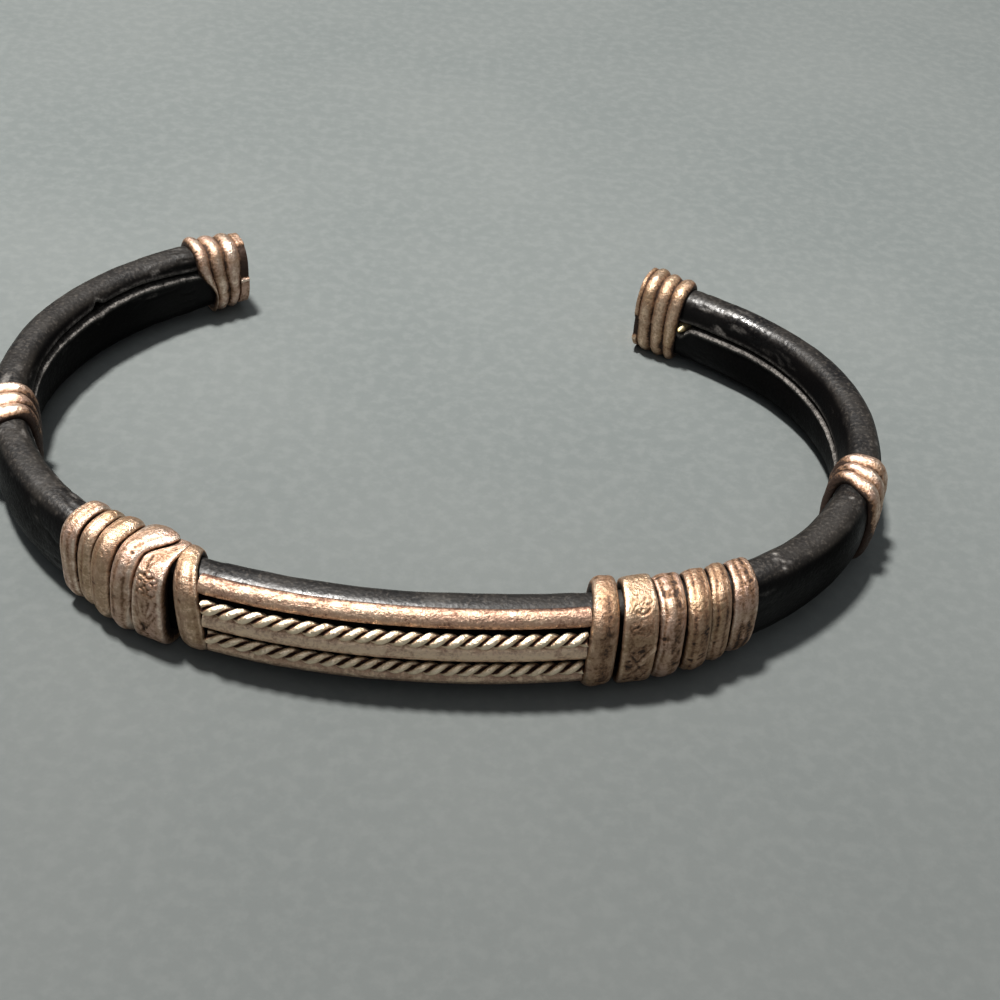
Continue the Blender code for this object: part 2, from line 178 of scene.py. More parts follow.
def grip(along):
    inside = np.full(np.shape(along), -FAR_OFF)
    for side in (-1, 1):
        distance = along * side
        for low, high in (
            (PANEL_ENDS[side], cluster_end(side)),
            (COLLARS[side] - COLLAR_LENGTH / 2.0, COLLARS[side] + COLLAR_LENGTH / 2.0),
            (LENGTHS[side] - CAPS[side], LENGTHS[side] + GRIP_RUN),
        ):
            inside = np.maximum(inside, np.minimum(distance - low, high - distance))
    return np.clip(inside / GRIP_RUN + 1.0, 0.0, 1.0)


def gripped_half_out():
    return CORE_THICKNESS / 2.0 + CORE_CLEARANCE + GRIPPED_WALL


def gripped_half_up(along):
    height = LEATHER_HEIGHT * sleeve_share(np.asarray(along, float), 1)
    return height / 2.0 - (LEATHER_WALL - GRIPPED_WALL)


def front_half_up():
    thickest = max(row[METAL][EDGE] for row in LEFT_RINGS + RIGHT_RINGS)
    return float(gripped_half_up(0.0)) + SEAT_GAP + thickest


def plan_place(along, out, up):
    along, out, up = np.broadcast_arrays(*(np.asarray(v, float) for v in (along, out, up)))
    back = float(gripped_half_up(HALF_RIGHT)) + SEAT_GAP + CAP_METAL
    sink = (back - front_half_up()) / HALVES[-1][3][-1]
    points = np.empty(along.shape + (3,))
    for side in (-1, 1):
        distances, headings, xs, ys = HALVES[side]
        here = along < 0.0 if side < 0 else along >= 0.0
        distance = np.abs(along[here])
        heading = np.interp(distance, distances, headings)
        y = np.interp(distance, distances, ys)
        points[here, 0] = side * (np.interp(distance, distances, xs) + np.sin(heading) * out[here])
        points[here, 1] = y - np.cos(heading) * out[here]
        points[here, 2] = sink * y + up[here]
    return points


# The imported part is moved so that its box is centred: the strip's box gives the move
def packed_shift():
    half = CORE_THICKNESS / 2.0
    margin = CAP_END_WALL + 2.0 * SEAT_GAP
    along = np.linspace(margin - HALF_LEFT, HALF_RIGHT - margin, STRIP_STEPS)
    strip = np.concatenate([plan_place(along, half, 0.0), plan_place(along, -half, 0.0)])
    low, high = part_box("core_strip")
    middle = (np.array(low) + np.array(high)) / 2.0 / MM
    shift = middle - (strip.min(0) + strip.max(0)) / 2.0
    return np.array([shift[0], shift[1], front_half_up()])


SHIFT = packed_shift()
TOP = max(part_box(row[NAME])[1][2] for row in LEFT_RINGS + RIGHT_RINGS) / MM


# Nothing reaches under the floor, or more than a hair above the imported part
def place(along, out, up):
    points = plan_place(along, out, up) + SHIFT
    points[..., 2] = np.clip(points[..., 2], FLOOR_CLEARANCE, TOP + HEADROOM)
    return points * MM


# Smooth noise from a lattice of hashed values, from -1 to 1
def hashed(ix, iy, iz, seed):
    n = (ix * 374761393 + iy * 668265263 + iz * 2147483647 + seed * 1274126177) & 0xFFFFFFFF
    n = ((n ^ (n >> 13)) * 1274126177) & 0xFFFFFFFF
    n = n ^ (n >> 16)
    return (n & 0xFFFF) / 32767.5 - 1.0


def noise(points, size, seed):
    scaled = np.asarray(points, float) / size
    base = np.floor(scaled).astype(np.int64)
    f = scaled - base
    f = f * f * (3.0 - 2.0 * f)
    total = 0.0
    for dx in (0, 1):
        wx = f[..., 0] if dx else 1.0 - f[..., 0]
        for dy in (0, 1):
            wy = f[..., 1] if dy else 1.0 - f[..., 1]
            for dz in (0, 1):
                wz = f[..., 2] if dz else 1.0 - f[..., 2]
                corner = hashed(base[..., 0] + dx, base[..., 1] + dy, base[..., 2] + dz, seed)
                total = total + wx * wy * wz * corner
    return total


# Noise over a line or a plane
def flat_noise(x, y, size, seed):
    return noise(np.stack(np.broadcast_arrays(x, y, 0.0 * x), -1), size, seed)


def rough(points, size, seed, layers=3):
    return sum(noise(points, size / 2.0 ** i, seed + 17 * i) / 2.0 ** i for i in range(layers))


def bump_at(value, centre, width):
    return np.exp(-(((value - centre) / width) ** 2))


def ramp(value, low, high):
    t = np.clip((value - low) / (high - low), 0.0, 1.0)
    return t * t * (3.0 - 2.0 * t)


# Ovals
def oval(angle, reach_out, reach_in, reach_up):
    c, s = np.cos(angle), np.sin(angle)
    out = np.abs(c) ** (2.0 / OVAL_POWER) * np.where(c > 0.0, reach_out, -reach_in)
    up = np.sign(s) * np.abs(s) ** (2.0 / OVAL_POWER) * reach_up
    return out, up


def oval_normal(out, up, reach_out, reach_up):
    n_out = np.sign(out) * (np.abs(out) / reach_out) ** (OVAL_POWER - 1.0) / reach_out
    n_up = np.sign(up) * (np.abs(up) / reach_up) ** (OVAL_POWER - 1.0) / reach_up
    size = np.sqrt(n_out ** 2 + n_up ** 2) + 1e-9
    return n_out / size, n_up / size


# Distance walked round a section at each of its points
def walk(out, up):
    return np.concatenate([[0.0], np.cumsum(np.hypot(np.diff(out), np.diff(up)))])


# Angles whose points lie evenly round an oval
def even_angles(count, reach_out, reach_up):
    fine = np.linspace(0.0, 2.0 * pi, FINE_STEPS)
    out, up = oval(fine, reach_out, reach_out, reach_up)
    walked = walk(out, up)
    return np.interp(np.linspace(0.0, walked[-1], count + 1)[:-1], walked, fine)


def put_in_scene(name, data):
    item = bpy.data.objects.new(name, data)
    bpy.context.scene.collection.objects.link(item)
    return item


# Meshes from grids of points. A part is a grid, whether it closes on itself along its rows
# and its columns, and values for each point.
def mesh_piece(name, parts, material, node):
    verts = []
    quads = []
    values = {}
    start = 0
    for grid, close_rows, close_columns, attributes in parts:
        n, m = grid.shape[:2]
        index = np.arange(n * m).reshape(n, m) + start
        down = np.concatenate([index, index[:1]]) if close_rows else index
        across = np.concatenate([down, down[:, :1]], axis=1) if close_columns else down
        quad = np.stack([across[:-1, :-1], across[:-1, 1:], across[1:, 1:], across[1:, :-1]], -1)
        verts.append(grid.reshape(-1, 3))
        quads.append(quad.reshape(-1, 4))
        for key, value in attributes.items():
            values.setdefault(key, []).append(np.broadcast_to(value, (n, m)).reshape(-1))
        start += n * m
    verts = np.concatenate(verts)
    quads = np.concatenate(quads)
    mesh = bpy.data.meshes.new(name)
    mesh.vertices.add(len(verts))
    mesh.vertices.foreach_set("co", verts.astype(np.float32).reshape(-1))
    mesh.loops.add(len(quads) * 4)
    mesh.loops.foreach_set("vertex_index", quads.astype(np.int32).reshape(-1))
    mesh.polygons.add(len(quads))
    mesh.polygons.foreach_set("loop_start", np.arange(0, len(quads) * 4, 4, dtype=np.int32))
    mesh.update(calc_edges=True)
    mesh.validate()
    for key, value in values.items():
        attribute = mesh.attributes.new(key, "FLOAT", "POINT")
        attribute.data.foreach_set("value", np.concatenate(value).astype(np.float32))
    mesh.polygons.foreach_set("use_smooth", np.ones(len(mesh.polygons), dtype=bool))
    mesh.materials.append(material)
    piece = put_in_scene(name, mesh)
    outward(mesh)
    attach(piece, "root")
    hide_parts(node)
    return piece


# Turns every face out: the signed volume of a closed body is positive
def outward(mesh):
    count = len(mesh.polygons)
    corners = np.zeros(count * 4, np.int32)
    mesh.loops.foreach_get("vertex_index", corners)
    corners = corners.reshape(count, 4)
    co = np.zeros(len(mesh.vertices) * 3, np.float32)
    mesh.vertices.foreach_get("co", co)
    co = co.reshape(-1, 3).astype(float)
    co = co - co.mean(0)
    a, b, c, d = (co[corners[:, k]] for k in range(4))
    volume = np.einsum("ij,ij->i", a, np.cross(b, c)).sum()
    volume += np.einsum("ij,ij->i", a, np.cross(c, d)).sum()
    if volume < 0.0:
        mesh.flip_normals()


# Materials
class Nodes:
    def __init__(self, name):
        self.material = bpy.data.materials.new(name)
        self.material.use_nodes = True
        self.tree = self.material.node_tree
        self.shader = self.tree.nodes["Principled BSDF"]
        self.position = self.tree.nodes.new("ShaderNodeTexCoord").outputs["Object"]

    def put(self, socket, value):
        if isinstance(value, bpy.types.NodeSocket):
            self.tree.links.new(value, socket)
        elif value is not None:
            socket.default_value = value

    def add(self, kind, output=0, settings=None, **inputs):
        node = self.tree.nodes.new(kind)
        for key, value in (settings or {}).items():
            setattr(node, key, value)
        for key, value in inputs.items():
            name = key.replace("_", " ")
            index = int(key[1:]) if key[0] == "i" and key[1:].isdigit() else name
            self.put(node.inputs[index], value)
        return node.outputs[output]

    def noise(self, scale, detail=4.0, roughness=0.55, vector=None, distortion=0.0):
        return self.add(
            "ShaderNodeTexNoise",
            Vector=vector or self.position,
            Scale=scale,
            Detail=detail,
            Roughness=roughness,
            Distortion=distortion,
        )

    def attribute(self, name):
        return self.add("ShaderNodeAttribute", 2, {"attribute_name": name})

    def math(self, operation, a, b=None, clamp=False):
        settings = {"operation": operation, "use_clamp": clamp}
        return self.add("ShaderNodeMath", 0, settings, i0=a, i1=b)

    def range(self, value, low, high, to_low=0.0, to_high=1.0):
        node = self.tree.nodes.new("ShaderNodeMapRange")
        node.interpolation_type = "SMOOTHSTEP"
        for key, number in zip(range(5), (value, low, high, to_low, to_high)):
            self.put(node.inputs[key], number)
        return node.outputs[0]

    def mix(self, share, a, b):
        node = self.tree.nodes.new("ShaderNodeMix")
        node.data_type = "RGBA"
        self.put(node.inputs[0], share)
        for socket, value in ((node.inputs[6], a), (node.inputs[7], b)):
            self.put(socket, (*value, 1.0) if isinstance(value, tuple) else value)
        return node.outputs[2]

    def joined(self, x, y, z):
        return self.add("ShaderNodeCombineXYZ", X=x, Y=y, Z=z)

    def bump(self, height, strength, distance):
        return self.add("ShaderNodeBump", Height=height, Strength=strength, Distance=distance)

    # A start value plus each layer times its strength
    def total(self, start, *layers):
        for layer, strength in layers:
            start = self.math("ADD", start, self.math("MULTIPLY", layer, strength))
        return start

    # A noise layer moved so that it swings about nothing
    def swing(self, layer):
        return self.math("SUBTRACT", layer, 0.5)

    def finish(self, **inputs):
        for key, value in inputs.items():
            self.put(self.shader.inputs[key.replace("_", " ")], value)
        return self.material


# Antique metal: the relief values run from 0 in a groove to 1 on a rubbed edge; they also carry
# painted shade on the steep, low and inner sides of pieces and in bores, and painted highlights
# on some wires and on a band's top. The colours are those of a rubbed edge, of two mingled middle
# tones, of a groove's side and of its bottom.
def metal(name, bright, middle, tint, warm, dark):
    n = Nodes(name)
    relief = n.attribute("relief")
    flow = n.joined(n.attribute("across"), n.attribute("around"), 0.0)
    streaks = n.noise(1.0, 4.0, 0.6, n.add("ShaderNodeMapping", Vector=flow, Scale=(7.0, 1.2, 1.0)))
    patches = n.noise(430.0, 3.0, 0.55)
    spots = n.noise(1500.0, 5.0, 0.65)
    grain = n.noise(4600.0, 4.0, 0.65)
    pits = n.add("ShaderNodeTexVoronoi", 0, {"feature": "F1"}, Vector=n.position, Scale=2400.0)
    # Wear and painted shade together pick the colours below
    wear_and_shade = n.total(relief, (n.swing(spots), 0.70), (n.swing(grain), 0.95), (n.swing(streaks), 0.35))
    base = n.mix(n.range(patches, 0.40, 0.62), middle, tint)
    colour = n.mix(n.range(wear_and_shade, 0.08, 0.34), dark, warm)
    colour = n.mix(n.range(wear_and_shade, 0.28, 0.56), colour, base)
    colour = n.mix(n.range(wear_and_shade, 0.58, 0.98), colour, bright)
    specks = n.math("MULTIPLY", n.range(pits, 0.16, 0.06), n.range(spots, 0.56, 0.66))
    colour = n.mix(n.math("MULTIPLY", specks, 0.75), colour, dark)
    roughness = n.total(n.range(wear_and_shade, 0.1, 1.0, 0.62, 0.38), (n.swing(grain), 0.35))
    height = n.total(n.math("MULTIPLY", spots, 1.1), (grain, 1.3), (streaks, 0.30), (specks, -0.5))
    normal = n.bump(height, 0.85, 0.00008)
    metallic = n.range(wear_and_shade, 0.10, 0.50, 0.55, 1.0)
    return n.finish(Base_Color=colour, Roughness=roughness, Metallic=metallic, Normal=normal)


def leather_material():
    n = Nodes("black_leather")
    raw_and_highlight = n.attribute("raw_and_highlight")
    gloss = n.attribute("gloss")
    sheen = n.attribute("sheen")
    patches = n.noise(240.0, 5.0, 0.6)
    grain = n.noise(3900.0, 4.0, 0.65)
    fibres = n.noise(5200.0, 4.0, 0.7)
    pores = n.add("ShaderNodeTexVoronoi", 0, {"feature": "F1"}, Vector=n.position, Scale=3300.0)
    base = n.mix(n.range(patches, 0.35, 0.68), (0.0035, 0.0032, 0.0034), (0.0120, 0.0100, 0.0082))
    # Painted sheen: faces that point up are made lighter and greyer, flecked by the grain
    painted_top_sheen = n.math("MULTIPLY", n.range(grain, 0.50, 0.70), n.range(sheen, 0.0, 1.0, 0.15, 0.85))
    base = n.mix(painted_top_sheen, base, (0.040, 0.034, 0.028))
    # Painted shade: faces that do not point up are darkened to near black
    base = n.mix(n.range(sheen, 0.0, 0.6, 0.88, 0.0), base, (0.0014, 0.0013, 0.0015))
    fray = n.math("MULTIPLY", raw_and_highlight, n.range(fibres, 0.38, 0.60, 0.30, 1.0), True)
    base = n.mix(fray, base, (0.235, 0.220, 0.205))
    roughness = n.range(patches, 0.30, 0.70, 0.42, 0.58)
    roughness = n.total(roughness, (gloss, -0.24), (raw_and_highlight, 0.30), (n.swing(grain), 0.45))
    height = n.total(n.math("MULTIPLY", pores, 0.55), (grain, 0.8), (fibres, n.math("MULTIPLY", raw_and_highlight, 1.8)))
    normal = n.bump(height, 0.55, 0.00006)
    shine = n.total(n.range(sheen, 0.0, 1.0, 0.02, 0.36), (gloss, 0.30))
    return n.finish(Base_Color=base, Roughness=roughness, Normal=normal, Specular_IOR_Level=shine)


def brass_material():
    n = Nodes("brass")
    spots = n.noise(1500.0, 4.0, 0.6)
    colour = n.mix(n.range(spots, 0.35, 0.65), (0.80, 0.56, 0.22), (0.98, 0.88, 0.60))
    roughness = n.range(spots, 0.3, 0.7, 0.56, 0.42)
    normal = n.bump(spots, 0.2, 0.00003)
    return n.finish(Base_Color=colour, Roughness=roughness, Metallic=1.0, Normal=normal)


DARK_BROWN = (0.045, 0.025, 0.017)
WARM_BROWN = (0.270, 0.155, 0.090)
BRONZE = metal(
    "antique_bronze",
    (0.88, 0.66, 0.48),
    (0.52, 0.35, 0.245),
    (0.48, 0.325, 0.205),
    WARM_BROWN,
    DARK_BROWN,
)
PINK_BRONZE = metal(
    "pink_bronze",
    (0.95, 0.78, 0.64),
    (0.60, 0.41, 0.32),
    (0.54, 0.375, 0.265),
    WARM_BROWN,
    DARK_BROWN,
)
PANEL_BRONZE = metal(
    "panel_bronze",
    (0.92, 0.71, 0.52),
    (0.60, 0.405, 0.29),
    (0.52, 0.34, 0.25),
    (0.200, 0.105, 0.070),
    (0.040, 0.020, 0.018),
)
ROPE_SILVER = metal(
    "rope_silver",
    (0.99, 0.84, 0.63),
    (0.84, 0.68, 0.48),
    (0.73, 0.57, 0.39),
    (0.260, 0.120, 0.060),
    (0.035, 0.014, 0.010),
)
LEATHER = leather_material()
BRASS = brass_material()


# Leather sleeve
SLEEVE_STEP = 0.22
SLEEVE_OUTER = 112
SLEEVE_INNER = 10
# How far the outer face's points crowd toward the seam
SLEEVE_CROWDING = 0.045
SEAM_STEPS = 900
# Places where the seam gapes and shows the strip: distance along, extra opening, run, how far
# the opening sinks below the seam, and how far the strip swells out
SEAM_GAPES = ((65.70, 0.78, 0.60, 0.46, 1.78), (-52.5, 0.62, 0.45, -0.12, 1.95))
# Pale flecks on the leather's top, scuffs on the left and painted glints on the right: distance
# along, place outward, size
FLECKS = (
    (25.75, 0.10, 0.12),
    (26.05, -0.35, 0.14),
    (26.05, 0.45, 0.08),
    (26.40, 0.70, 0.09),
    (25.85, 0.90, 0.10),
    (COLLAR_RIGHT - COLLAR_LENGTH / 2.0 - 0.7, 0.10, 0.10),
    (-27.2, -1.15, 0.16),
    (-27.6, -1.35, 0.12),
    (-31.2, -1.30, 0.12),
)


def seam_opening(along):
    opening = SEAM_OPENING + 0.10 * flat_noise(along, 0.0, 5.0, 3)
    for centre, extra, run, _, _ in SEAM_GAPES:
        opening = opening + extra * bump_at(along, centre, run)
    return np.maximum(opening, 0.10)


def seam_height(along):
    height = LEATHER_HEIGHT * sleeve_share(along, 3)
    for centre, _, run, drop, _ in SEAM_GAPES:
        height = height - drop * bump_at(along, centre, run)
    return height


def lip_angle(height, reach_up):
    return np.sign(height) * np.arcsin(min(1.0, abs(height) / reach_up) ** (OVAL_POWER / 2.0))


# One face of the folded leather at one place: an oval that is open between the seam's lips
def sleeve_face(reach_out, reach_up, seam, opening, sides, crowding):
    high = lip_angle(seam + opening / 2.0, reach_up)
    low = lip_angle(seam - opening / 2.0, reach_up)
    fine = np.linspace(pi - high, -pi - low, SEAM_STEPS)
    walked = walk(*oval(fine, reach_out, reach_out, reach_up))
    stops = np.linspace(0.0, 1.0, sides)
    stops = stops - crowding * np.sin(2.0 * pi * stops)
    angle = np.interp(stops * walked[-1], walked, fine)
    return oval(angle, reach_out, reach_out, reach_up)


def sleeve_sections(reach_out, reach_up, wall, seam, opening):
    outs, ups = [], []
    for i in range(len(wall)):
        lips = seam[i], opening[i]
        outer = sleeve_face(reach_out[i], reach_up[i], *lips, SLEEVE_OUTER, SLEEVE_CROWDING)
        inner = sleeve_face(reach_out[i] - wall[i], reach_up[i] - wall[i], *lips, SLEEVE_INNER, 0.0)
        outs.append(np.concatenate([outer[0], inner[0][::-1]]))
        ups.append(np.concatenate([outer[1], inner[1][::-1]]))
    return np.array(outs), np.array(ups)


# Nearness to an edge of the metal, where the leather creases
def beside_metal(a):
    beside = np.zeros(a.shape)
    for side in (-1, 1):
        for edge, reach in (
            (cluster_end(side), 3.6),
            (COLLARS[side] - COLLAR_LENGTH / 2.0, 2.2),
            (COLLARS[side] + COLLAR_LENGTH / 2.0, 2.0),
            (LENGTHS[side] - CAPS[side], 5.0),
        ):
            beside = np.maximum(beside, bump_at(a * side, edge, reach))
    return beside


# How far the leather's surface stands out: slow unevenness, creases, wrinkles over the inner
# upper edge before the right cap, and a fine pressed line beyond the right collar
def leather_relief(a, out, up, points, folded, beside, wrinkled):
    move = 0.050 * rough(points, 6.0, 11) + 0.014 * rough(points, 1.1, 12, 2)
    crease = np.abs(noise(folded, 1.1, 21))
    deep = np.where(a < 0.0, 0.085, 0.045)
    move = move - beside * deep * (1.0 - ramp(crease, 0.0, 0.35))
    waves = np.sin(a * 2.0 * pi / 0.62 + 3.2 * noise(points, 1.3, 31) + up * 2.5)
    move = move + wrinkled * 0.085 * waves * (0.55 + 0.45 * noise(points, 0.9, 32))
    shoulder = bump_at(up, 2.25, 0.13) * (out > 0.6) * ramp(a, COLLAR_RIGHT, COLLAR_RIGHT + 3.0)
    return move - 0.075 * shoulder * ramp(-a, -58.0, -52.0)


# The seam's lips: the lower one stands up in a frayed, pale edge. Its paleness is partly the raw
# fibres' colour and partly a painted highlight, stronger on the lower lip, where the light falls.
# Returns how far they turn inward, the pale ridge and its fraying.
def seam_lips(a, out, up, points, seam, opening, outside):
    edge_up = up - (seam + opening / 2.0)[:, None]
    edge_low = (seam - opening / 2.0)[:, None] - up
    on_face = (out < 0.0) & (outside > 0.0)
    above = up > seam[:, None]
    from_lip = np.maximum(np.where(above, edge_up, edge_low), 0.0)
    lip = np.where(on_face, np.exp(-((from_lip / 0.20) ** 2)), 0.0)
    fray = sum(0.5 * noise(points, size, seed) for size, seed in ((0.9, 40), (0.33, 41), (0.14, 42)))
    # Painted highlight: the lower lip's pale edge is stronger than the upper one's
    pale = np.where(above, 0.45, 1.0) * ramp(np.abs(a), 30.0, 36.0)
    ridge = np.where(on_face, bump_at(from_lip, 0.20, 0.17), 0.0) * pale
    inward = lip * np.where(above, 0.26, 0.12) - ridge * 0.12 * (1.0 + 0.6 * fray)
    return inward, ridge, fray


def sleeve_end(grid, row):
    outer = grid[row, :SLEEVE_OUTER]
    inner = grid[row, SLEEVE_OUTER:][::-1]
    stops = np.linspace(0, 1, len(outer))
    spread = np.interp(stops, np.linspace(0, 1, len(inner)), np.arange(len(inner)))
    strip = np.stack([outer, inner[np.round(spread).astype(int)]])
    return strip if row == 0 else strip[::-1]


def add_sleeve():
    margin = CAP_END_WALL + SEAT_GAP
    count = int(round((HALF_LEFT + HALF_RIGHT - 2.0 * margin) / SLEEVE_STEP))
    along = np.linspace(margin - HALF_LEFT, HALF_RIGHT - margin, count + 1)
    wall = LEATHER_WALL - (LEATHER_WALL - GRIPPED_WALL) * grip(along) * GRIP_SEEN
    reach_out = CORE_THICKNESS / 2.0 + CORE_CLEARANCE + wall
    reach_up = LEATHER_HEIGHT * sleeve_share(along, 1) / 2.0 - (LEATHER_WALL - wall)
    seam = seam_height(along) + 0.10 * flat_noise(along, 0.0, 7.0, 5)
    opening = seam_opening(along)
    out, up = sleeve_sections(reach_out, reach_up, wall, seam, opening)
    a = along[:, None]
    points = plan_place(a, out, up)
    n_out, n_up = oval_normal(out, up, reach_out[:, None], reach_up[:, None])
    outside = np.zeros(out.shape)
    outside[:, :SLEEVE_OUTER] = 1.0
    beside = beside_metal(a)
    # Creases fan out from the metal: long along the leather and short across it
    folded = np.stack([a * 0.55 + 0.0 * up, out * 1.6 + 2.0 * noise(points, 2.5, 22), up * 1.6], -1)
    wrinkled = bump_at(a, 60.5, 4.2) * (bump_at(up, 2.55, 0.55) * (out < 0.4))
    free = 1.0 - grip(a) * 0.9
    move = leather_relief(a, out, up, points, folded, beside, wrinkled) * free * outside
    inward, ridge, fray = seam_lips(a, out, up, points, seam, opening, outside)
    out = out + n_out * move + inward
    up = up + n_up * move + ridge * 0.05 * fray
    scuffs = ramp(rough(folded, 0.9, 51, 3), 0.50, 0.95) * np.maximum(beside, 0.12) * (up > 0.4)
    # Pale flecks: scuffs on the left, painted glints on the right
    flecks = sum(bump_at(np.hypot(a - at, out - where), 0.0, size) for at, where, size in FLECKS)
    raw_and_highlight = np.clip(ridge * (0.95 + 0.7 * fray), 0.0, 1.0)
    raw_and_highlight = np.clip(raw_and_highlight + 0.55 * scuffs + 1.2 * flecks * (up > 1.5), 0.0, 1.0) * outside
    # The strip of leather over the panel shines on its left half
    over_panel = bump_at(a, -6.0, 7.0) * bump_at(up, 2.75, 0.28) * (out > 0.2)
    gloss = np.clip(wrinkled * 1.1 + beside * 0.25 + over_panel * 1.2, 0.0, 1.0)
    grid = place(a, out, up)
    parts = [(grid, False, True, {"raw_and_highlight": raw_and_highlight, "gloss": gloss, "sheen": ramp(n_up, 0.35, 0.85)})]
    for row in (0, -1):
        parts.append((sleeve_end(grid, row), False, False, {"raw_and_highlight": 0.0, "gloss": 0.0, "sheen": 0.0}))
    return mesh_piece("leather", parts, LEATHER, "leather_sleeve")


# A rod and its two flat ends, which are fans to the middle of its first and last section
def closed_rod(grid, values, end_values):
    parts = [(grid, False, True, values)]
    for row in (0, -1):
        ends = np.stack([grid[row], np.broadcast_to(grid[row].mean(0), grid[row].shape)])
        parts.append((ends if row == 0 else ends[::-1], False, True, end_values))
    return parts


# Brass strip: it swells out to the seam where the seam gapes
CORE_ROWS = 200
GAPE_ROWS = 36
CORE_OUTER = 24
CORE_INNER = 120
CORE_POWER = 6.0


def core_rows():
    margin = CAP_END_WALL + 2.0 * SEAT_GAP
    first = margin - HALF_LEFT
    last = HALF_RIGHT - margin
    rows = [np.linspace(first, last, CORE_ROWS)]
    for centre, _, run, _, _ in SEAM_GAPES:
        rows.append(np.linspace(centre - 3.0 * run, centre + 3.0 * run, GAPE_ROWS))
    rows = np.unique(np.concatenate(rows))
    return rows[(rows >= first) & (rows <= last)]


def add_core():
    along = core_rows()
    lowest = min(min(row[1], row[2]) for row in SLEEVE)
    half_up = LEATHER_HEIGHT * lowest / 2.0 - LEATHER_WALL - CORE_CLEARANCE
    outer_face = np.linspace(-1.0, 1.0, CORE_OUTER)
    inner_face = np.linspace(1.0, -1.0, CORE_INNER)[1:-1]
    share = np.concatenate([outer_face, inner_face])[None, :]
    facing = np.concatenate([np.ones(outer_face.shape), -np.ones(inner_face.shape)])[None, :]
    half = CORE_THICKNESS / 2.0
    fullness = (1.0 - np.abs(share) ** CORE_POWER) ** (1.0 / CORE_POWER)
    out = facing * half * fullness + 0.0 * along[:, None]
    up = share * half_up + 0.0 * along[:, None]
    for centre, extra, run, _, rise in SEAM_GAPES:
        swell = bump_at(along[:, None], centre, run * 0.9)
        seam = float(seam_height(np.array([centre]))[0])
        out = np.where(out < 0.0, out - rise * swell * bump_at(up, seam, 0.20 + 0.32 * extra), out)
    grid = place(along[:, None], out, up)
    return mesh_piece("brass_strip", closed_rod(grid, {}, {}), BRASS, "core_strip")


# Rings and bands
RING_AROUND = 280
RING_ACROSS = 34
BAND_AROUND = 420
BAND_ACROSS = 74
BORE_ACROSS = 4
RING_SWELL = 0.09
RING_PINCH = 0.03
RING_CROWDING = 0.6
# The relief value in a bore, where no light reaches
BORE_RELIEF = -0.3


def tilted(along, side, height, depth):
    along = along + side[LEAN] / 2.0 * height
    along = along + side[TURN] * (1.0 - depth)
    over_top = ramp(height, 0.70, 0.95) * ramp(depth, 0.55, -0.50)
    return along - side[HOOK] * over_top


# Shares across a ring, closer together toward both its sides
def across_shares(count):
    t = np.linspace(0.0, 1.0, count)
    return t * (1.0 - RING_CROWDING) + RING_CROWDING * (0.5 - 0.5 * np.cos(pi * t))


# How each ring's face is made: the dome's power, the metal's share at the ring's sides, and
# grooves, each as share across, width and depth
FACES = {
    # name: power, side, grooves
    "ring_left_panel": (2.1, 0.40, ((0.80, 0.09, 0.05), (0.22, 0.08, 0.03))),
    "band_left": (4.5, 0.66, ()),
    "ring_left_4": (2.1, 0.42, ((0.30, 0.07, 0.05), (0.72, 0.09, 0.04))),
    "ring_left_3": (2.0, 0.38, ((0.70, 0.09, 0.05),)),
    "ring_left_2": (2.0, 0.36, ((0.55, 0.08, 0.04),)),
    "ring_left_1": (2.0, 0.36, ((0.30, 0.08, 0.05), (0.68, 0.10, 0.05))),
    "ring_right_panel": (2.3, 0.42, ((0.60, 0.20, 0.06),)),
    "band_right": (5.0, 0.66, ()),
    "ring_right_a": (2.2, 0.42, ((0.16, 0.06, 0.06), (0.66, 0.15, 0.09))),
    "ring_right_b": (2.1, 0.40, ((0.70, 0.15, 0.06), (0.28, 0.07, 0.03))),
    "ring_right_c": (2.0, 0.38, ((0.30, 0.08, 0.07), (0.70, 0.08, 0.03))),
    "ring_right_d": (2.0, 0.36, ((0.66, 0.10, 0.05), (0.34, 0.08, 0.03))),
}
# How pale the metal is in the left and the right cluster
CLUSTER_TONES = {-1: 0.66, 1: 0.54}
# The left band dips under the ring that sweeps over its top
DIPS = {"band_left": 0.28}
PINK_RINGS = ("ring_left_1", "ring_left_4", "band_left", "ring_right_a", "ring_right_d")


# A stroke of a stamp: x is counted in millimetres from the panel's side of the band, and y
# upward round the outer face from its middle
def stroke(x, y, path, width, depth):
    nearest = np.full(x.shape, FAR_OFF)
    for (x0, y0), (x1, y1) in zip(path, path[1:]):
        dx, dy = x1 - x0, y1 - y0
        t = np.clip(((x - x0) * dx + (y - y0) * dy) / (dx * dx + dy * dy + 1e-9), 0.0, 1.0)
        nearest = np.minimum(nearest, np.hypot(x - x0 - t * dx, y - y0 - t * dy))
    return depth * np.exp(-((nearest / width) ** 2))


def arc(x, y, radius, start, stop, steps=14):
    turns = np.radians(np.linspace(start, stop, steps))
    return [(x + radius * cos(a), y + radius * sin(a)) for a in turns]


PETALS = 5


def petals(cx, cy, radius, size, start):
    paths = []
    for i in range(PETALS):
        a = start + 2.0 * pi * i / PETALS
        px, py = cx + radius * cos(a), cy + radius * sin(a)
        turn = np.degrees(a)
        paths.append(arc(px, py, size, turn - 125.0, turn + 125.0, 10))
    return paths


def stamp(x, y, lines):
    height = 0.0 * x + 0.0 * y
    for path, width, depth in lines:
        height = height + stroke(x, y, path, width, depth)
    return height


def flower(x, y, radius, size, start):
    lines = [(path, 0.085, -0.050) for path in petals(x, y, radius, size, start)]
    lines.append((arc(x, y, radius * 0.28, 0.0, 360.0), 0.07, -0.055))
    return lines


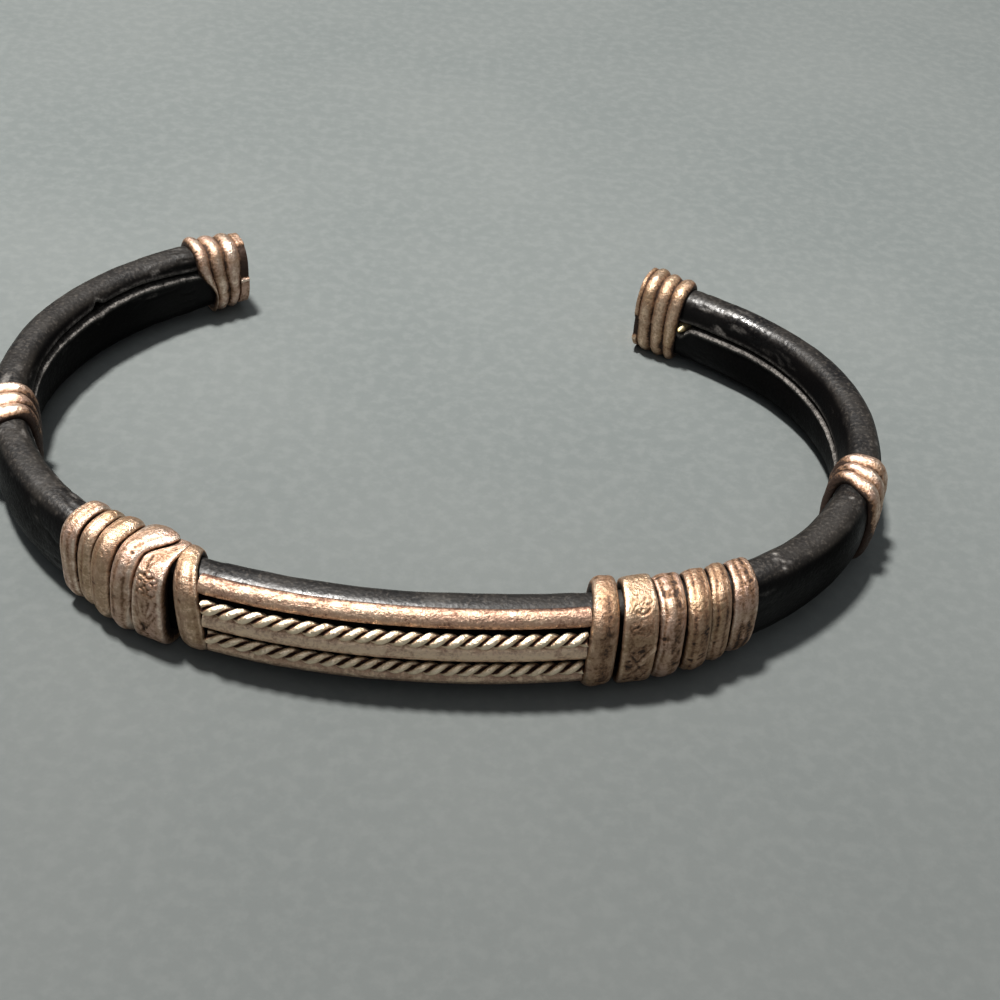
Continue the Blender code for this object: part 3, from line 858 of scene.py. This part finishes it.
def relief_left(x, y):
    lines = flower(1.05, 2.55, 0.46, 0.25, radians(20.0))
    lines.append((arc(0.95, 3.02, 0.30, 190.0, 350.0), 0.10, -0.13))
    lines.append((arc(0.62, 1.72, 0.24, 140.0, 400.0), 0.08, -0.08))
    lines.append((arc(1.28, 1.60, 0.24, -60.0, 200.0), 0.08, -0.08))
    lines += [
        ([(0.30, 1.00), (0.58, 0.00), (0.98, -1.20), (1.15, -2.00)], 0.090, -0.085),
        ([(1.55, 1.05), (1.38, 0.10), (1.20, -0.90), (1.12, -1.90)], 0.080, -0.075),
        ([(0.70, 0.90), (0.92, -0.10), (1.06, -1.20)], 0.070, -0.065),
        ([(1.20, 0.85), (1.12, 0.10), (1.08, -0.90)], 0.065, -0.060),
        ([(0.25, 0.00), (0.60, -0.80), (0.95, -1.70)], 0.070, -0.070),
        ([(1.66, 0.10), (1.44, -0.60), (1.22, -1.50)], 0.070, -0.060),
        ([(0.48, 0.70), (0.78, -0.30)], 0.120, 0.050),
        ([(1.36, 0.60), (1.24, -0.40)], 0.110, 0.050),
        ([(0.80, 4.30), (1.05, 3.70), (1.12, 3.30)], 0.060, -0.060),
        ([(1.30, 4.40), (1.26, 3.80), (1.20, 3.40)], 0.060, -0.060),
    ]
    return stamp(x, y, lines + flower(0.95, -2.75, 0.42, 0.23, radians(50.0)))


def relief_right(x, y):
    lines = flower(1.05, 3.95, 0.44, 0.24, radians(90.0))
    lines.append((arc(1.12, 3.62, 0.40, 195.0, 340.0), 0.09, -0.12))
    lines += [
        (arc(0.70, 2.10, 0.26, 20.0, 250.0), 0.070, -0.070),
        (arc(1.28, 1.95, 0.26, -70.0, 160.0), 0.070, -0.070),
        ([(0.50, 2.62), (0.90, 2.48), (1.50, 2.60)], 0.075, 0.060),
        ([(0.62, 1.60), (1.00, 1.78), (1.36, 1.58)], 0.075, 0.060),
        (arc(1.05, 1.05, 0.34, 200.0, 340.0), 0.090, -0.110),
        (arc(0.62, 0.55, 0.22, 90.0, 330.0), 0.070, -0.070),
        ([(2.00, 0.42), (1.70, 0.05), (1.36, -0.42), (1.20, -0.75)], 0.170, 0.120),
        ([(1.94, 0.16), (1.60, -0.20), (1.30, -0.60)], 0.050, -0.080),
        ([(1.82, 0.62), (1.40, 0.14), (1.04, -0.50)], 0.070, -0.085),
        ([(0.50, 0.20), (0.90, -0.55), (1.32, -1.45), (1.66, -2.05)], 0.070, -0.070),
        ([(1.55, -0.85), (1.08, -1.25), (0.62, -1.85)], 0.070, -0.070),
        ([(0.34, -0.80), (0.76, -1.35), (1.12, -2.05)], 0.065, -0.065),
        ([(0.30, -1.70), (0.62, -2.20), (0.98, -2.90)], 0.065, -0.060),
        ([(1.80, -1.40), (1.50, -2.00), (1.20, -2.80)], 0.065, -0.060),
    ]
    return stamp(x, y, lines)


# Each band's stamp, how strongly it is kept, and how much darker the band is near its top; the
# right band's top is made paler instead, a painted highlight
STAMPS = {"band_left": (relief_left, 0.95, 0.04), "band_right": (relief_right, 0.68, -0.22)}
STAMP_DEPTH = 0.07


# Grooves along a ring: how deep they are, and how dark
def ring_grooves(name, share, along_ring, seed):
    deep = 0.0
    dark = 0.0
    wander = 0.05 * noise(along_ring, 1.5, seed + 2)
    for centre, width, depth in FACES[name][2]:
        fades = 0.60 + 0.40 * noise(along_ring, 1.7, seed + 3)
        groove = bump_at(share + wander, centre, width) * fades
        deep = deep + depth * groove
        dark = dark + 0.42 * groove
    return deep, dark


# A band's stamp: how far it is raised, and how dark
def band_stamp(name, x, arc_up, here, seed):
    relief, strength, top_dark = STAMPS[name]
    worn_off = strength * (0.30 + 0.70 * ramp(noise(here, 0.8, seed + 6), -0.6, 0.5))
    stamped = relief(x, arc_up) * worn_off
    depth = stamped / STAMP_DEPTH
    dark = 0.30 * np.clip(-depth, 0.0, 1.4) - 0.30 * np.clip(depth, 0.0, 1.0)
    # Near the top the right band is painted paler, a painted highlight; the left a little darker
    return stamped, dark + top_dark * ramp(arc_up, 2.7, 3.4) + 0.14


# How far a ring's face moves out, and its relief value
def ring_face(side, row, share, lift, here, arc_up, seed):
    name = row[NAME]
    along_ring = here * np.array([1.0, 1.0, 0.12])
    move = 0.045 * rough(here, 2.4, seed) + 0.020 * rough(here, 0.75, seed + 1, 3)
    deep, dark = ring_grooves(name, share, along_ring, seed)
    move = move - deep
    if name in STAMPS:
        stamped, stamp_dark = band_stamp(name, share * row[WIDTH] + 0.0 * arc_up, arc_up, here, seed)
        move = move + stamped
        dark = dark + stamp_dark
    dents = ramp(rough(here, 0.40, seed + 4, 2), 0.55, 1.1)
    move = move - 0.030 * dents
    rims = bump_at(share, 0.07, 0.07) + bump_at(share, 0.93, 0.07)
    # Painted shade: the steep sides, where a ring falls toward its neighbours, are darkened
    steep = ramp(1.0 - lift, 0.22, 0.50)
    relief = CLUSTER_TONES[side] + 0.26 * rims - 0.60 * steep - (dark + 0.30 * dents)
    patchy = 0.07 * rough(along_ring, 1.3, seed + 5, 2) + 0.10 * rough(here, 1.0, seed + 7, 2)
    return move, relief + patchy


# Distance along the bracelet of each point of a ring
def ring_along(row, start, shares, body, height, depth, seed):
    sway = 0.05 * flat_noise(height * 3.0, depth * 3.0, 0.8, seed + 6)
    near = tilted(start, row[NEAR], height, depth) - RING_SWELL * body
    far = tilted(start + row[WIDTH], row[FAR], height, depth) + RING_SWELL * body
    # The top narrows a little as the ring rounds over the leather
    hooked = row[NEAR][HOOK] > 0.0 or row[FAR][HOOK] > 0.0
    slim = (0.0 if hooked else RING_PINCH) * row[WIDTH] * ramp(height, 0.75, 1.0) * body
    near, far = near + slim, far - slim
    return near + (far - near) * shares + sway * np.sin(pi * np.clip(shares, 0.0, 1.0))


# The rows of a bore, drawn after those of the face, close a section
def with_bore(face, bore):
    return np.concatenate([face, np.broadcast_to(bore, (BORE_ACROSS, face.shape[1]))])


def add_ring(side, start, row, seed):
    name = row[NAME]
    around, across = (BAND_AROUND, BAND_ACROSS) if name in STAMPS else (RING_AROUND, RING_ACROSS)
    bore_out = gripped_half_out() + SEAT_GAP
    bore_up = float(gripped_half_up(side * start)) + SEAT_GAP
    outer, edge, inner = row[METAL]
    power, shoulder, _ = FACES[name]
    angles = even_angles(around, bore_out + outer, bore_up + edge)[None, :]
    share = across_shares(across)[:, None]
    dome = (1.0 - np.abs(2.0 * share - 1.0) ** power) ** (1.0 / power)
    lift = shoulder + (1.0 - shoulder) * dome
    out, up = oval(angles, bore_out + outer, bore_out + inner, bore_up + edge)
    walked = walk(out[0], up[0])
    arc_up = np.where(angles[0] > pi, walked - walked[-1] - walked[1], walked)[None, :]
    # Noise is read in a frame that lies flat: round the ring, and across it
    here = np.stack(np.broadcast_arrays(out, up, share * row[WIDTH] + seed), -1)
    move, relief = ring_face(side, row, share, lift, here, arc_up, seed)
    held = ramp(lift, 0.3, 0.8)
    reach = [
        bore + lift * size + move * held
        for bore, size in ((bore_out, outer), (bore_out, inner), (bore_up, edge))
    ]
    reach[2] = reach[2] - DIPS.get(name, 0.0) * ramp(np.sin(angles), 0.35, 0.85) * held
    out, up = oval(angles, *reach)
    bore = oval(angles, bore_out, bore_out, bore_up)
    out, up = with_bore(out, bore[0]), with_bore(up, bore[1])
    shares = np.concatenate([share, np.linspace(1.0, 0.0, BORE_ACROSS)[:, None]])
    body = with_bore(np.ones(share.shape), 0.0)
    height = up / (bore_up + edge)
    depth = out / (bore_out + outer)
    grid = place(side * ring_along(row, start, shares, body, height, depth, seed), out, up)
    attributes = {
        "relief": with_bore(relief, BORE_RELIEF),
        "across": shares * row[WIDTH] + seed,
        "around": arc_up,
    }
    material = PINK_BRONZE if name in PINK_RINGS else BRONZE
    title = name.replace("ring", "hoop").replace("band", "stamped")
    return mesh_piece(title, [(grid, True, True, attributes)], material, name)


def add_clusters():
    seed = 100
    for side in (-1, 1):
        start = PANEL_ENDS[side]
        for row in CLUSTERS[side]:
            start += row[GAP]
            add_ring(side, start, row, seed)
            start += row[WIDTH]
            seed += 10


# Ribbed collars and end caps
RIB_AROUND = 230
RIB_ACROSS = 96
# Borders of the ribs as shares of the length, at the top and at the bottom. A sweep moves the
# inner side along, a tone makes the metal paler or darker, and a mark is the height span of a
# recess in the end plate's rim.
RIBBED = (
    # title, node, side, length, metal, borders, sweep, tone, mark
    ("collar_ridges_left", "collar_left", -1, COLLAR_LENGTH, COLLAR_METAL,
     ((0.00, 0.04), (0.36, 0.32), (0.68, 0.64), (1.00, 1.00)), 0.5, -0.14, None),
    ("collar_ridges_right", "collar_right", 1, COLLAR_LENGTH, COLLAR_METAL,
     ((0.00, 0.00), (0.33, 0.28), (0.63, 0.62), (1.00, 1.00)), 1.15, -0.24, None),
    ("cap_ridges_left", "end_cap_left", -1, CAP_LEFT_LENGTH, CAP_METAL,
     ((0.00, 0.34), (0.26, 0.37), (0.56, 0.61), (0.86, 0.82), (1.00, 1.00)),
     0.0, -0.25, (0.02, 0.95)),
    ("cap_ridges_right", "end_cap_right", 1, CAP_RIGHT_LENGTH, CAP_METAL,
     ((0.00, 0.05), (0.32, 0.30), (0.62, 0.60), (0.93, 0.90), (1.00, 1.00)),
     0.0, -0.28, (-0.55, 0.10)),
)
# The collars' bores close in on the leather
HUG = 0.12
PLATE_FACTORS = np.linspace(0.97, 0.01, 24)
# Steps from a cap's mouth to the floor of its bore, the last one drawn in to a point
BORE_STEPS = (0.0, 0.5, 1.0, 1.0)
BORE_POINT = 0.02
# How far the end plate may stand out past the band's tip
PLATE_PROUD = 0.02


# The recess in a cap's rim: its share of sinking, and the bright notch at its lower end
def rim_mark(mark, plate, height, depth):
    low, high = mark
    inner_side = ramp(depth, 0.12, -0.10)
    sunk = plate * ramp(height, low - 0.04, low + 0.04) * ramp(height, high + 0.04, high - 0.04)
    return sunk * inner_side, plate * inner_side * bump_at(height, low - 0.06, 0.05)


# Count of ribs passed at each point, from the rib borders of each column
def rib_phase(swayed, edges):
    ribs = np.arange(len(edges))
    return np.array([np.interp(swayed[:, j], edges[:, j], ribs) for j in range(RIB_AROUND)]).T


# The ribs' profile, how far the worn metal moves out, and its relief value
def rib_face(cap, tone, mark, phase, height, depth, here, seed):
    plate = ramp(phase, 3.02, 3.10) if cap else 0.0 * phase
    profile = 0.20 + 0.80 * np.abs(np.sin(pi * phase)) ** 0.6
    profile = profile * (1.0 - plate) + 0.70 * plate
    move = 0.040 * rough(here, 1.6, seed + 1) + 0.018 * rough(here, 0.45, seed + 2, 3)
    dents = ramp(rough(here, 0.38, seed + 3, 2), 0.55, 1.1)
    relief = tone + 0.96 * profile - 0.28 * dents + 0.16 * rough(here, 1.0, seed + 4, 2)
    # Painted shade: low on the outer side the metal is darker, and on a collar its inner side and
    # its lower part too
    relief = relief - 0.22 * ramp(-height, -0.1, 0.6) * (depth > 0.0)
    if not cap:
        relief = relief - 0.40 * ramp(height, 0.55, -0.25) - 0.55 * ramp(-depth, 0.35, 0.90)
    if mark:
        sunk, notch = rim_mark(mark, plate, height, depth)
        relief = relief * (1.0 - sunk) - 0.10 * sunk + 0.6 * notch
        profile = profile * (1.0 - 0.55 * sunk) + 0.18 * notch
    return profile, (move - 0.03 * dents) * ramp(profile, 0.3, 0.8), relief


# The rows that close a ribbed piece, each as its points, its relief and its distance along: a
# cap's end plate, the blind bore behind it, and a collar's bore
def cap_plate(side, end, out, up, seed):
    rows, reliefs, shares = [], [], []
    for factor in PLATE_FACTORS:
        o, u = out[-1:] * factor, up[-1:] * factor
        at = end + 0.025 * flat_noise(o * 2.0, u * 2.0, 1.0, seed + 7)
        rows.append(place(side * np.minimum(at, LENGTHS[side] + PLATE_PROUD), o, u))
        reliefs.append(0.50 + 0.15 * flat_noise(o, u, 0.7, seed + 8))
        shares.append(at)
    return rows, reliefs, shares


def cap_bore(side, start, end, mouth, angles, reach):
    bottom = end - CAP_END_WALL
    o, u = oval(angles, reach, reach, float(gripped_half_up(side * bottom)) + SEAT_GAP)
    rows = []
    for step in BORE_STEPS:
        at = start + mouth * (1.0 - step) + (bottom - start) * step
        rows.append(place(side * at + 0.0 * angles, o, u))
    rows[-1] = place(side * bottom + 0.0 * angles, o * BORE_POINT, u * BORE_POINT)
    reliefs = [np.full((1, RIB_AROUND), BORE_RELIEF)] * len(rows)
    return rows[::-1], reliefs, [np.zeros((1, RIB_AROUND))] * len(rows)


def collar_bore(side, along, length, middle_up, angles, reach):
    o, u = oval(angles, reach - HUG, reach - HUG, middle_up - HUG)
    rows, reliefs, shares = [], [], []
    for step in np.linspace(1.0, 0.0, BORE_ACROSS):
        at = along[:1] + (along[-1:] - along[:1]) * step
        rows.append(place(side * at, o, u))
        reliefs.append(np.full((1, RIB_AROUND), BORE_RELIEF))
        shares.append(np.full((1, RIB_AROUND), step * length))
    return rows, reliefs, shares


def ribbed_piece(title, node, side, length, metal_mm, borders, sweep, tone, mark, seed):
    cap = node in ("end_cap_left", "end_cap_right")
    start = LENGTHS[side] - length if cap else COLLARS[side] - length / 2.0
    reach = gripped_half_out() + SEAT_GAP
    middle_up = float(gripped_half_up(side * (start + length / 2.0))) + SEAT_GAP
    angles = even_angles(RIB_AROUND, reach + metal_mm, middle_up + metal_mm)[None, :]
    out, up = oval(angles, reach + metal_mm, reach + metal_mm, middle_up + metal_mm)
    walked = walk(out[0], up[0])
    height = up / (middle_up + metal_mm)
    depth = out / (reach + metal_mm)
    fall = ramp(height, 0.62, -0.45) if node == "end_cap_left" else (1.0 - height) / 2.0
    edges = np.array([top + (bottom - top) * fall[0] for top, bottom in borders])
    row_share = np.linspace(0.0, 1.0, RIB_ACROSS)[:, None]
    share = edges[0] + (edges[-1] - edges[0]) * row_share
    here = np.stack(np.broadcast_arrays(out, up, share * length + seed), -1)
    sway = 0.022 * noise(here * np.array([1.0, 1.0, 0.3]), 1.2, seed) * np.sin(pi * row_share)
    phase = rib_phase(share + sway, edges)
    profile, move, relief = rib_face(cap, tone, mark, phase, height, depth, here, seed)
    flare = 0.16 * ramp(share, 0.35, 0.85) * (height > 0.0) if node == "end_cap_right" else 0.0
    lift = profile * metal_mm + flare + move
    along = start + share * length + sweep * ramp(-depth, -0.6, 1.0) * (1.0 - row_share)
    bore_up = gripped_half_up(side * along) + SEAT_GAP
    out, up = oval(angles, reach + lift, reach + lift, bore_up + lift)
    face = [place(side * along, out, up)], [relief], [share * length]
    if cap:
        end = start + length
        bore = cap_bore(side, start, end, edges[0] * length, angles, reach)
        columns = zip(bore, face, cap_plate(side, end, out, up, seed))
    else:
        columns = zip(face, collar_bore(side, along, length, middle_up, angles, reach))
    grid, reliefs, distances = (np.concatenate(sum(column, [])) for column in columns)
    attributes = {
        "relief": reliefs,
        "across": distances + seed,
        "around": np.broadcast_to(walked[None, :], grid.shape[:2]),
    }
    material = BRONZE if node == "end_cap_right" else PINK_BRONZE
    return mesh_piece(title, [(grid, not cap, True, attributes)], material, node)


def add_ribbed():
    for i, row in enumerate(RIBBED):
        ribbed_piece(*row, 400 + 20 * i)


# Front panel
def sleeve_surface(up):
    half_up = LEATHER_HEIGHT / 2.0
    half_out = CORE_THICKNESS / 2.0 + CORE_CLEARANCE + LEATHER_WALL
    share = min(0.98, abs(up) / half_up)
    out = half_out * (1.0 - share ** OVAL_POWER) ** (1.0 / OVAL_POWER)
    fall = half_out / half_up * share ** (OVAL_POWER - 1.0) * (out / half_out) ** (1.0 - OVAL_POWER)
    tilt = np.arctan(fall)
    return out, tilt if up > 0.0 else -tilt


def panel_layout():
    height = LEATHER_HEIGHT - PANEL_MARGIN
    metal_height = height - WIRE_GAP * (len(PANEL) - 1)
    top = height / 2.0 + PANEL_LIFT
    layout = []
    for name, kind, share in PANEL:
        size = share * metal_height
        layout.append((name, kind, top - size / 2.0, size))
        top -= size + WIRE_GAP
    return layout


def panel_ends(out, up):
    ends = []
    for side in (-1, 1):
        ring = CLUSTERS[side][0]
        height = up / (float(gripped_half_up(0.0)) + SEAT_GAP + ring[METAL][EDGE])
        depth = out / (gripped_half_out() + SEAT_GAP + ring[METAL][OUTER])
        ends.append(side * (tilted(PANEL_ENDS[side], ring[NEAR], height, depth) - WIRE_GAP * 0.5))
    return ends


WIRE_ALONG = 300
WIRE_ACROSS = 26
WIRE_BACK = 6
# How much paler or darker each wire's metal is painted to stand in for the light on it (painted
# highlight on the middle and bottom wires, painted shade on the top one), and how deep its nicks are
WIRE_PAINTED_LIGHT = {"wire_top": -0.06, "wire_middle": 0.24, "wire_bottom": 0.12}
WIRE_NICKS = {"wire_top": 0.015, "wire_middle": 0.035, "wire_bottom": 0.015}
PANEL_END_VALUES = {"relief": 0.2, "across": 0.0, "around": 0.0}


def add_wire(name, up, size, seed):
    out, tilt = sleeve_surface(up)
    low, high = panel_ends(out + WIRE_GAP + WIRE_RISE, up)
    along = np.linspace(low, high, WIRE_ALONG)[:, None]
    turn = np.linspace(-pi / 2.0, pi / 2.0, WIRE_ACROSS)[None, :]
    flat = np.linspace(1.0, -1.0, WIRE_BACK)[1:-1][None, :]
    rise = WIRE_GAP + WIRE_RISE * np.cos(turn) ** 0.8 + 0.0 * along
    across = size / 2.0 * np.sin(turn) + 0.0 * along
    here = np.stack([along + 0.0 * across, across, rise], -1)
    move = 0.022 * rough(here, 2.2, seed) + 0.010 * rough(here, 0.5, seed + 1, 2)
    nicks = ramp(noise(here * np.array([1.0, 0.4, 0.4]), 0.42, seed + 2), 0.35, 0.85)
    nicks = nicks * bump_at(across / size, 0.30, 0.14)
    move = move + WIRE_NICKS[name] * nicks
    rise = rise + move * np.cos(turn)
    across = across * (1.0 + 0.02 * noise(here, 1.5, seed + 3))
    rise = np.concatenate([rise, WIRE_GAP + 0.0 * along + 0.0 * flat], axis=1)
    across = np.concatenate([across, size / 2.0 * flat + 0.0 * along], axis=1)
    point_out = out + rise * cos(tilt) - across * sin(tilt)
    point_up = up + rise * sin(tilt) + across * cos(tilt)
    grid = place(along, point_out, point_up)
    crown = np.concatenate([np.cos(turn), -1.0 + 0.0 * flat], axis=1) + 0.0 * along
    relief = 0.22 + 0.42 * np.clip(crown, 0.0, 1.0) ** 0.6 - 0.5 * (crown < 0.0)
    # Painted light: each wire is made paler or darker for the light that falls on it
    relief = relief + WIRE_PAINTED_LIGHT[name]
    relief[:, :WIRE_ACROSS] += 0.45 * nicks + 0.12 * rough(here, 1.4, seed + 4, 2)
    attributes = {"relief": relief, "across": across + seed, "around": along + 0.0 * across}
    parts = closed_rod(grid, attributes, PANEL_END_VALUES)
    return mesh_piece(name.replace("wire", "half_round"), parts, PANEL_BRONZE, name)


# Two round strands twisted together. The real ropes are a little fatter than the solids, so
# each has its own diameter, and a move up.
STRAND_SHARE = 0.50
ROPES = {"rope_upper": (1.02, 0.05), "rope_lower": (0.92, 0.02)}
ROPE_LAY = 2.12
ROPE_ALONG = 520
ROPE_AROUND = 20


def add_rope(name, up, seed):
    size, raised = ROPES[name]
    up = up + raised
    out, tilt = sleeve_surface(up)
    rise = WIRE_GAP + size / 2.0
    centre_out = out + rise * cos(tilt)
    centre_up = up + rise * sin(tilt)
    low, high = panel_ends(centre_out + size / 2.0, up)
    along = np.linspace(low, high, ROPE_ALONG)[:, None]
    turn = np.linspace(0.0, 2.0 * pi, ROPE_AROUND, endpoint=False)[None, :]
    offset = size / 2.0 * (1.0 - STRAND_SHARE)
    radius = size / 2.0 * STRAND_SHARE
    slope = 2.0 * pi * offset / ROPE_LAY
    lean = 1.0 / np.sqrt(1.0 + slope ** 2)
    parts = []
    for strand in (0, 1):
        wobble = 0.10 * noise(np.stack([along, 0.0 * along, 0.0 * along + strand], -1), 2.0, seed)
        twist = 2.0 * pi * along / ROPE_LAY + pi * strand + wobble
        c_out, c_up = offset * np.cos(twist), offset * np.sin(twist)
        # The strand's own frame: across the twist and along the radius
        radial = np.cos(turn) * radius
        side_way = np.sin(turn) * radius
        p_out = c_out + radial * np.cos(twist) - side_way * np.sin(twist) * lean
        p_up = c_up + radial * np.sin(twist) + side_way * np.cos(twist) * lean
        p_along = np.clip(along - side_way * slope * lean, low, high)
        here = np.stack([p_along, p_out, p_up], -1)
        swell = 0.010 * rough(here, 0.7, seed + strand, 2)
        p_out = p_out * (1.0 + swell)
        p_up = p_up * (1.0 + swell)
        grid = place(p_along, centre_out + p_out, centre_up + p_up)
        far = np.hypot(p_out, p_up) / (size / 2.0)
        relief = -0.15 + 1.00 * ramp(far, 0.45, 0.85) + 0.10 * rough(here, 0.5, seed + 5, 2)
        across = np.sin(turn) + 0.0 * along + seed
        attributes = {"relief": relief, "across": across, "around": along + 0.0 * turn}
        parts += closed_rod(grid, attributes, PANEL_END_VALUES)
    return mesh_piece(name.replace("rope", "twisted_rope"), parts, ROPE_SILVER, name)


def add_panel():
    seed = 700
    for name, kind, up, size in panel_layout():
        if kind == "wire":
            add_wire(name, up, size, seed)
        else:
            add_rope(name, up, seed)
        seed += 10


# Floor, light and camera
FLOOR_HALF = 1.5


# Painted shade: the floor darkens a little toward the camera
def floor_material():
    n = Nodes("floor")
    grain = n.noise(900.0, 6.0, 0.6)
    clouds = n.noise(30.0, 4.0, 0.55)
    colour = n.mix(n.range(clouds, 0.3, 0.7), (0.112, 0.126, 0.125), (0.126, 0.139, 0.137))
    colour = n.mix(n.math("MULTIPLY", n.range(grain, 0.40, 0.68), 0.35), colour, (0.165, 0.178, 0.175))
    backward = n.add("ShaderNodeSeparateXYZ", 1, Vector=n.position)
    shade = n.range(backward, -0.050, 0.030, 0.55, 0.0)
    colour = n.mix(shade, colour, (0.055, 0.058, 0.057))
    normal = n.bump(grain, 0.25, 0.0001)
    return n.finish(Base_Color=colour, Roughness=0.75, Normal=normal, Specular_IOR_Level=0.25)


def add_floor():
    mesh = bpy.data.meshes.new("floor")
    corners = [(x * FLOOR_HALF, y * FLOOR_HALF, 0.0) for x, y in ((-1, -1), (1, -1), (1, 1), (-1, 1))]
    mesh.from_pydata(corners, [], [(0, 1, 2, 3)])
    mesh.materials.append(floor_material())
    put_in_scene("floor", mesh)


def pose(item, right, up, back, place_m):
    columns = (right, up, back, place_m)
    item.matrix_world = Matrix([[column[k] for column in columns] for k in range(3)] + [[0, 0, 0, 1]])


def aim(item, place_m, target_m):
    back = np.array(place_m) - np.array(target_m)
    back = back / np.linalg.norm(back)
    right = np.cross([0.0, 0.0, 1.0], back)
    right = right / np.linalg.norm(right)
    pose(item, right, np.cross(back, right), back, place_m)


LIGHT_TARGET_M = (0.0, 0.0, 0.004)
LIGHTS = (
    # name, place in metres, size in metres, power, colour
    ("key", (-0.098, 0.033, 0.435), (0.05, 0.05), 4.7, (1.0, 0.97, 0.93)),
    ("fill", (0.06, -0.42, 0.36), (0.30, 0.16), 0.22, (0.97, 0.98, 1.0)),
)


def add_light(name, place_m, size, power, colour):
    light = bpy.data.lights.new(name, "AREA")
    light.shape = "RECTANGLE"
    light.size, light.size_y = size
    light.energy = power
    light.color = colour
    aim(put_in_scene(name, light), place_m, LIGHT_TARGET_M)


def add_lights():
    for row in LIGHTS:
        add_light(*row)


# A dark surround that grows light overhead
WORLD_STRENGTH = 0.80
WORLD_STEPS = (
    # position, colour
    (0.0, (0.020, 0.020, 0.021, 1.0)),
    (0.55, (0.10, 0.102, 0.106, 1.0)),
    (1.0, (1.00, 1.01, 1.02, 1.0)),
)


def add_world():
    world = bpy.data.worlds.new("studio")
    bpy.context.scene.world = world
    world.use_nodes = True
    tree = world.node_tree
    background = tree.nodes["Background"]
    direction = tree.nodes.new("ShaderNodeTexCoord").outputs["Generated"]
    split = tree.nodes.new("ShaderNodeSeparateXYZ")
    tree.links.new(direction, split.inputs[0])
    steps = tree.nodes.new("ShaderNodeValToRGB")
    tree.links.new(split.outputs["Z"], steps.inputs[0])
    stops = steps.color_ramp.elements
    stops.new(WORLD_STEPS[1][0])
    for stop, (position, colour) in zip(stops, WORLD_STEPS):
        stop.position = position
        stop.color = colour
    tree.links.new(steps.outputs["Color"], background.inputs["Color"])
    background.inputs["Strength"].default_value = WORLD_STRENGTH
    bpy.context.scene.view_settings.view_transform = "Standard"


# The camera's angles in degrees, and its distance and target in millimetres, in the plan
# curve's own frame, as worked out from the photograph
CAMERA = {"elevation": 40.0, "swing": -3.04, "roll": 6.2, "distance": 113.94, "x": 6.06, "y": 13.85}
LENS = 57.6
SENSOR = 36.0
NEAR_CLIP_M = 0.005


def add_camera():
    e, phi, rho = (radians(CAMERA[key]) for key in ("elevation", "swing", "roll"))
    back = np.array([sin(phi) * cos(e), -cos(phi) * cos(e), sin(e)])
    target = np.array([CAMERA["x"], CAMERA["y"], 0.0])
    centre = target + back * CAMERA["distance"] + SHIFT
    right = np.array([cos(phi), sin(phi), 0.0])
    up = np.cross(right, -back)
    rolled_right = right * cos(rho) + up * sin(rho)
    rolled_up = -right * sin(rho) + up * cos(rho)
    data = bpy.data.cameras.new("camera")
    data.lens = LENS
    data.sensor_width = SENSOR
    data.clip_start = NEAR_CLIP_M
    camera = put_in_scene("camera", data)
    pose(camera, rolled_right, rolled_up, back, centre * MM)
    bpy.context.scene.camera = camera


add_sleeve()
add_core()
add_clusters()
add_ribbed()
add_panel()
add_floor()
add_lights()
add_world()
add_camera()
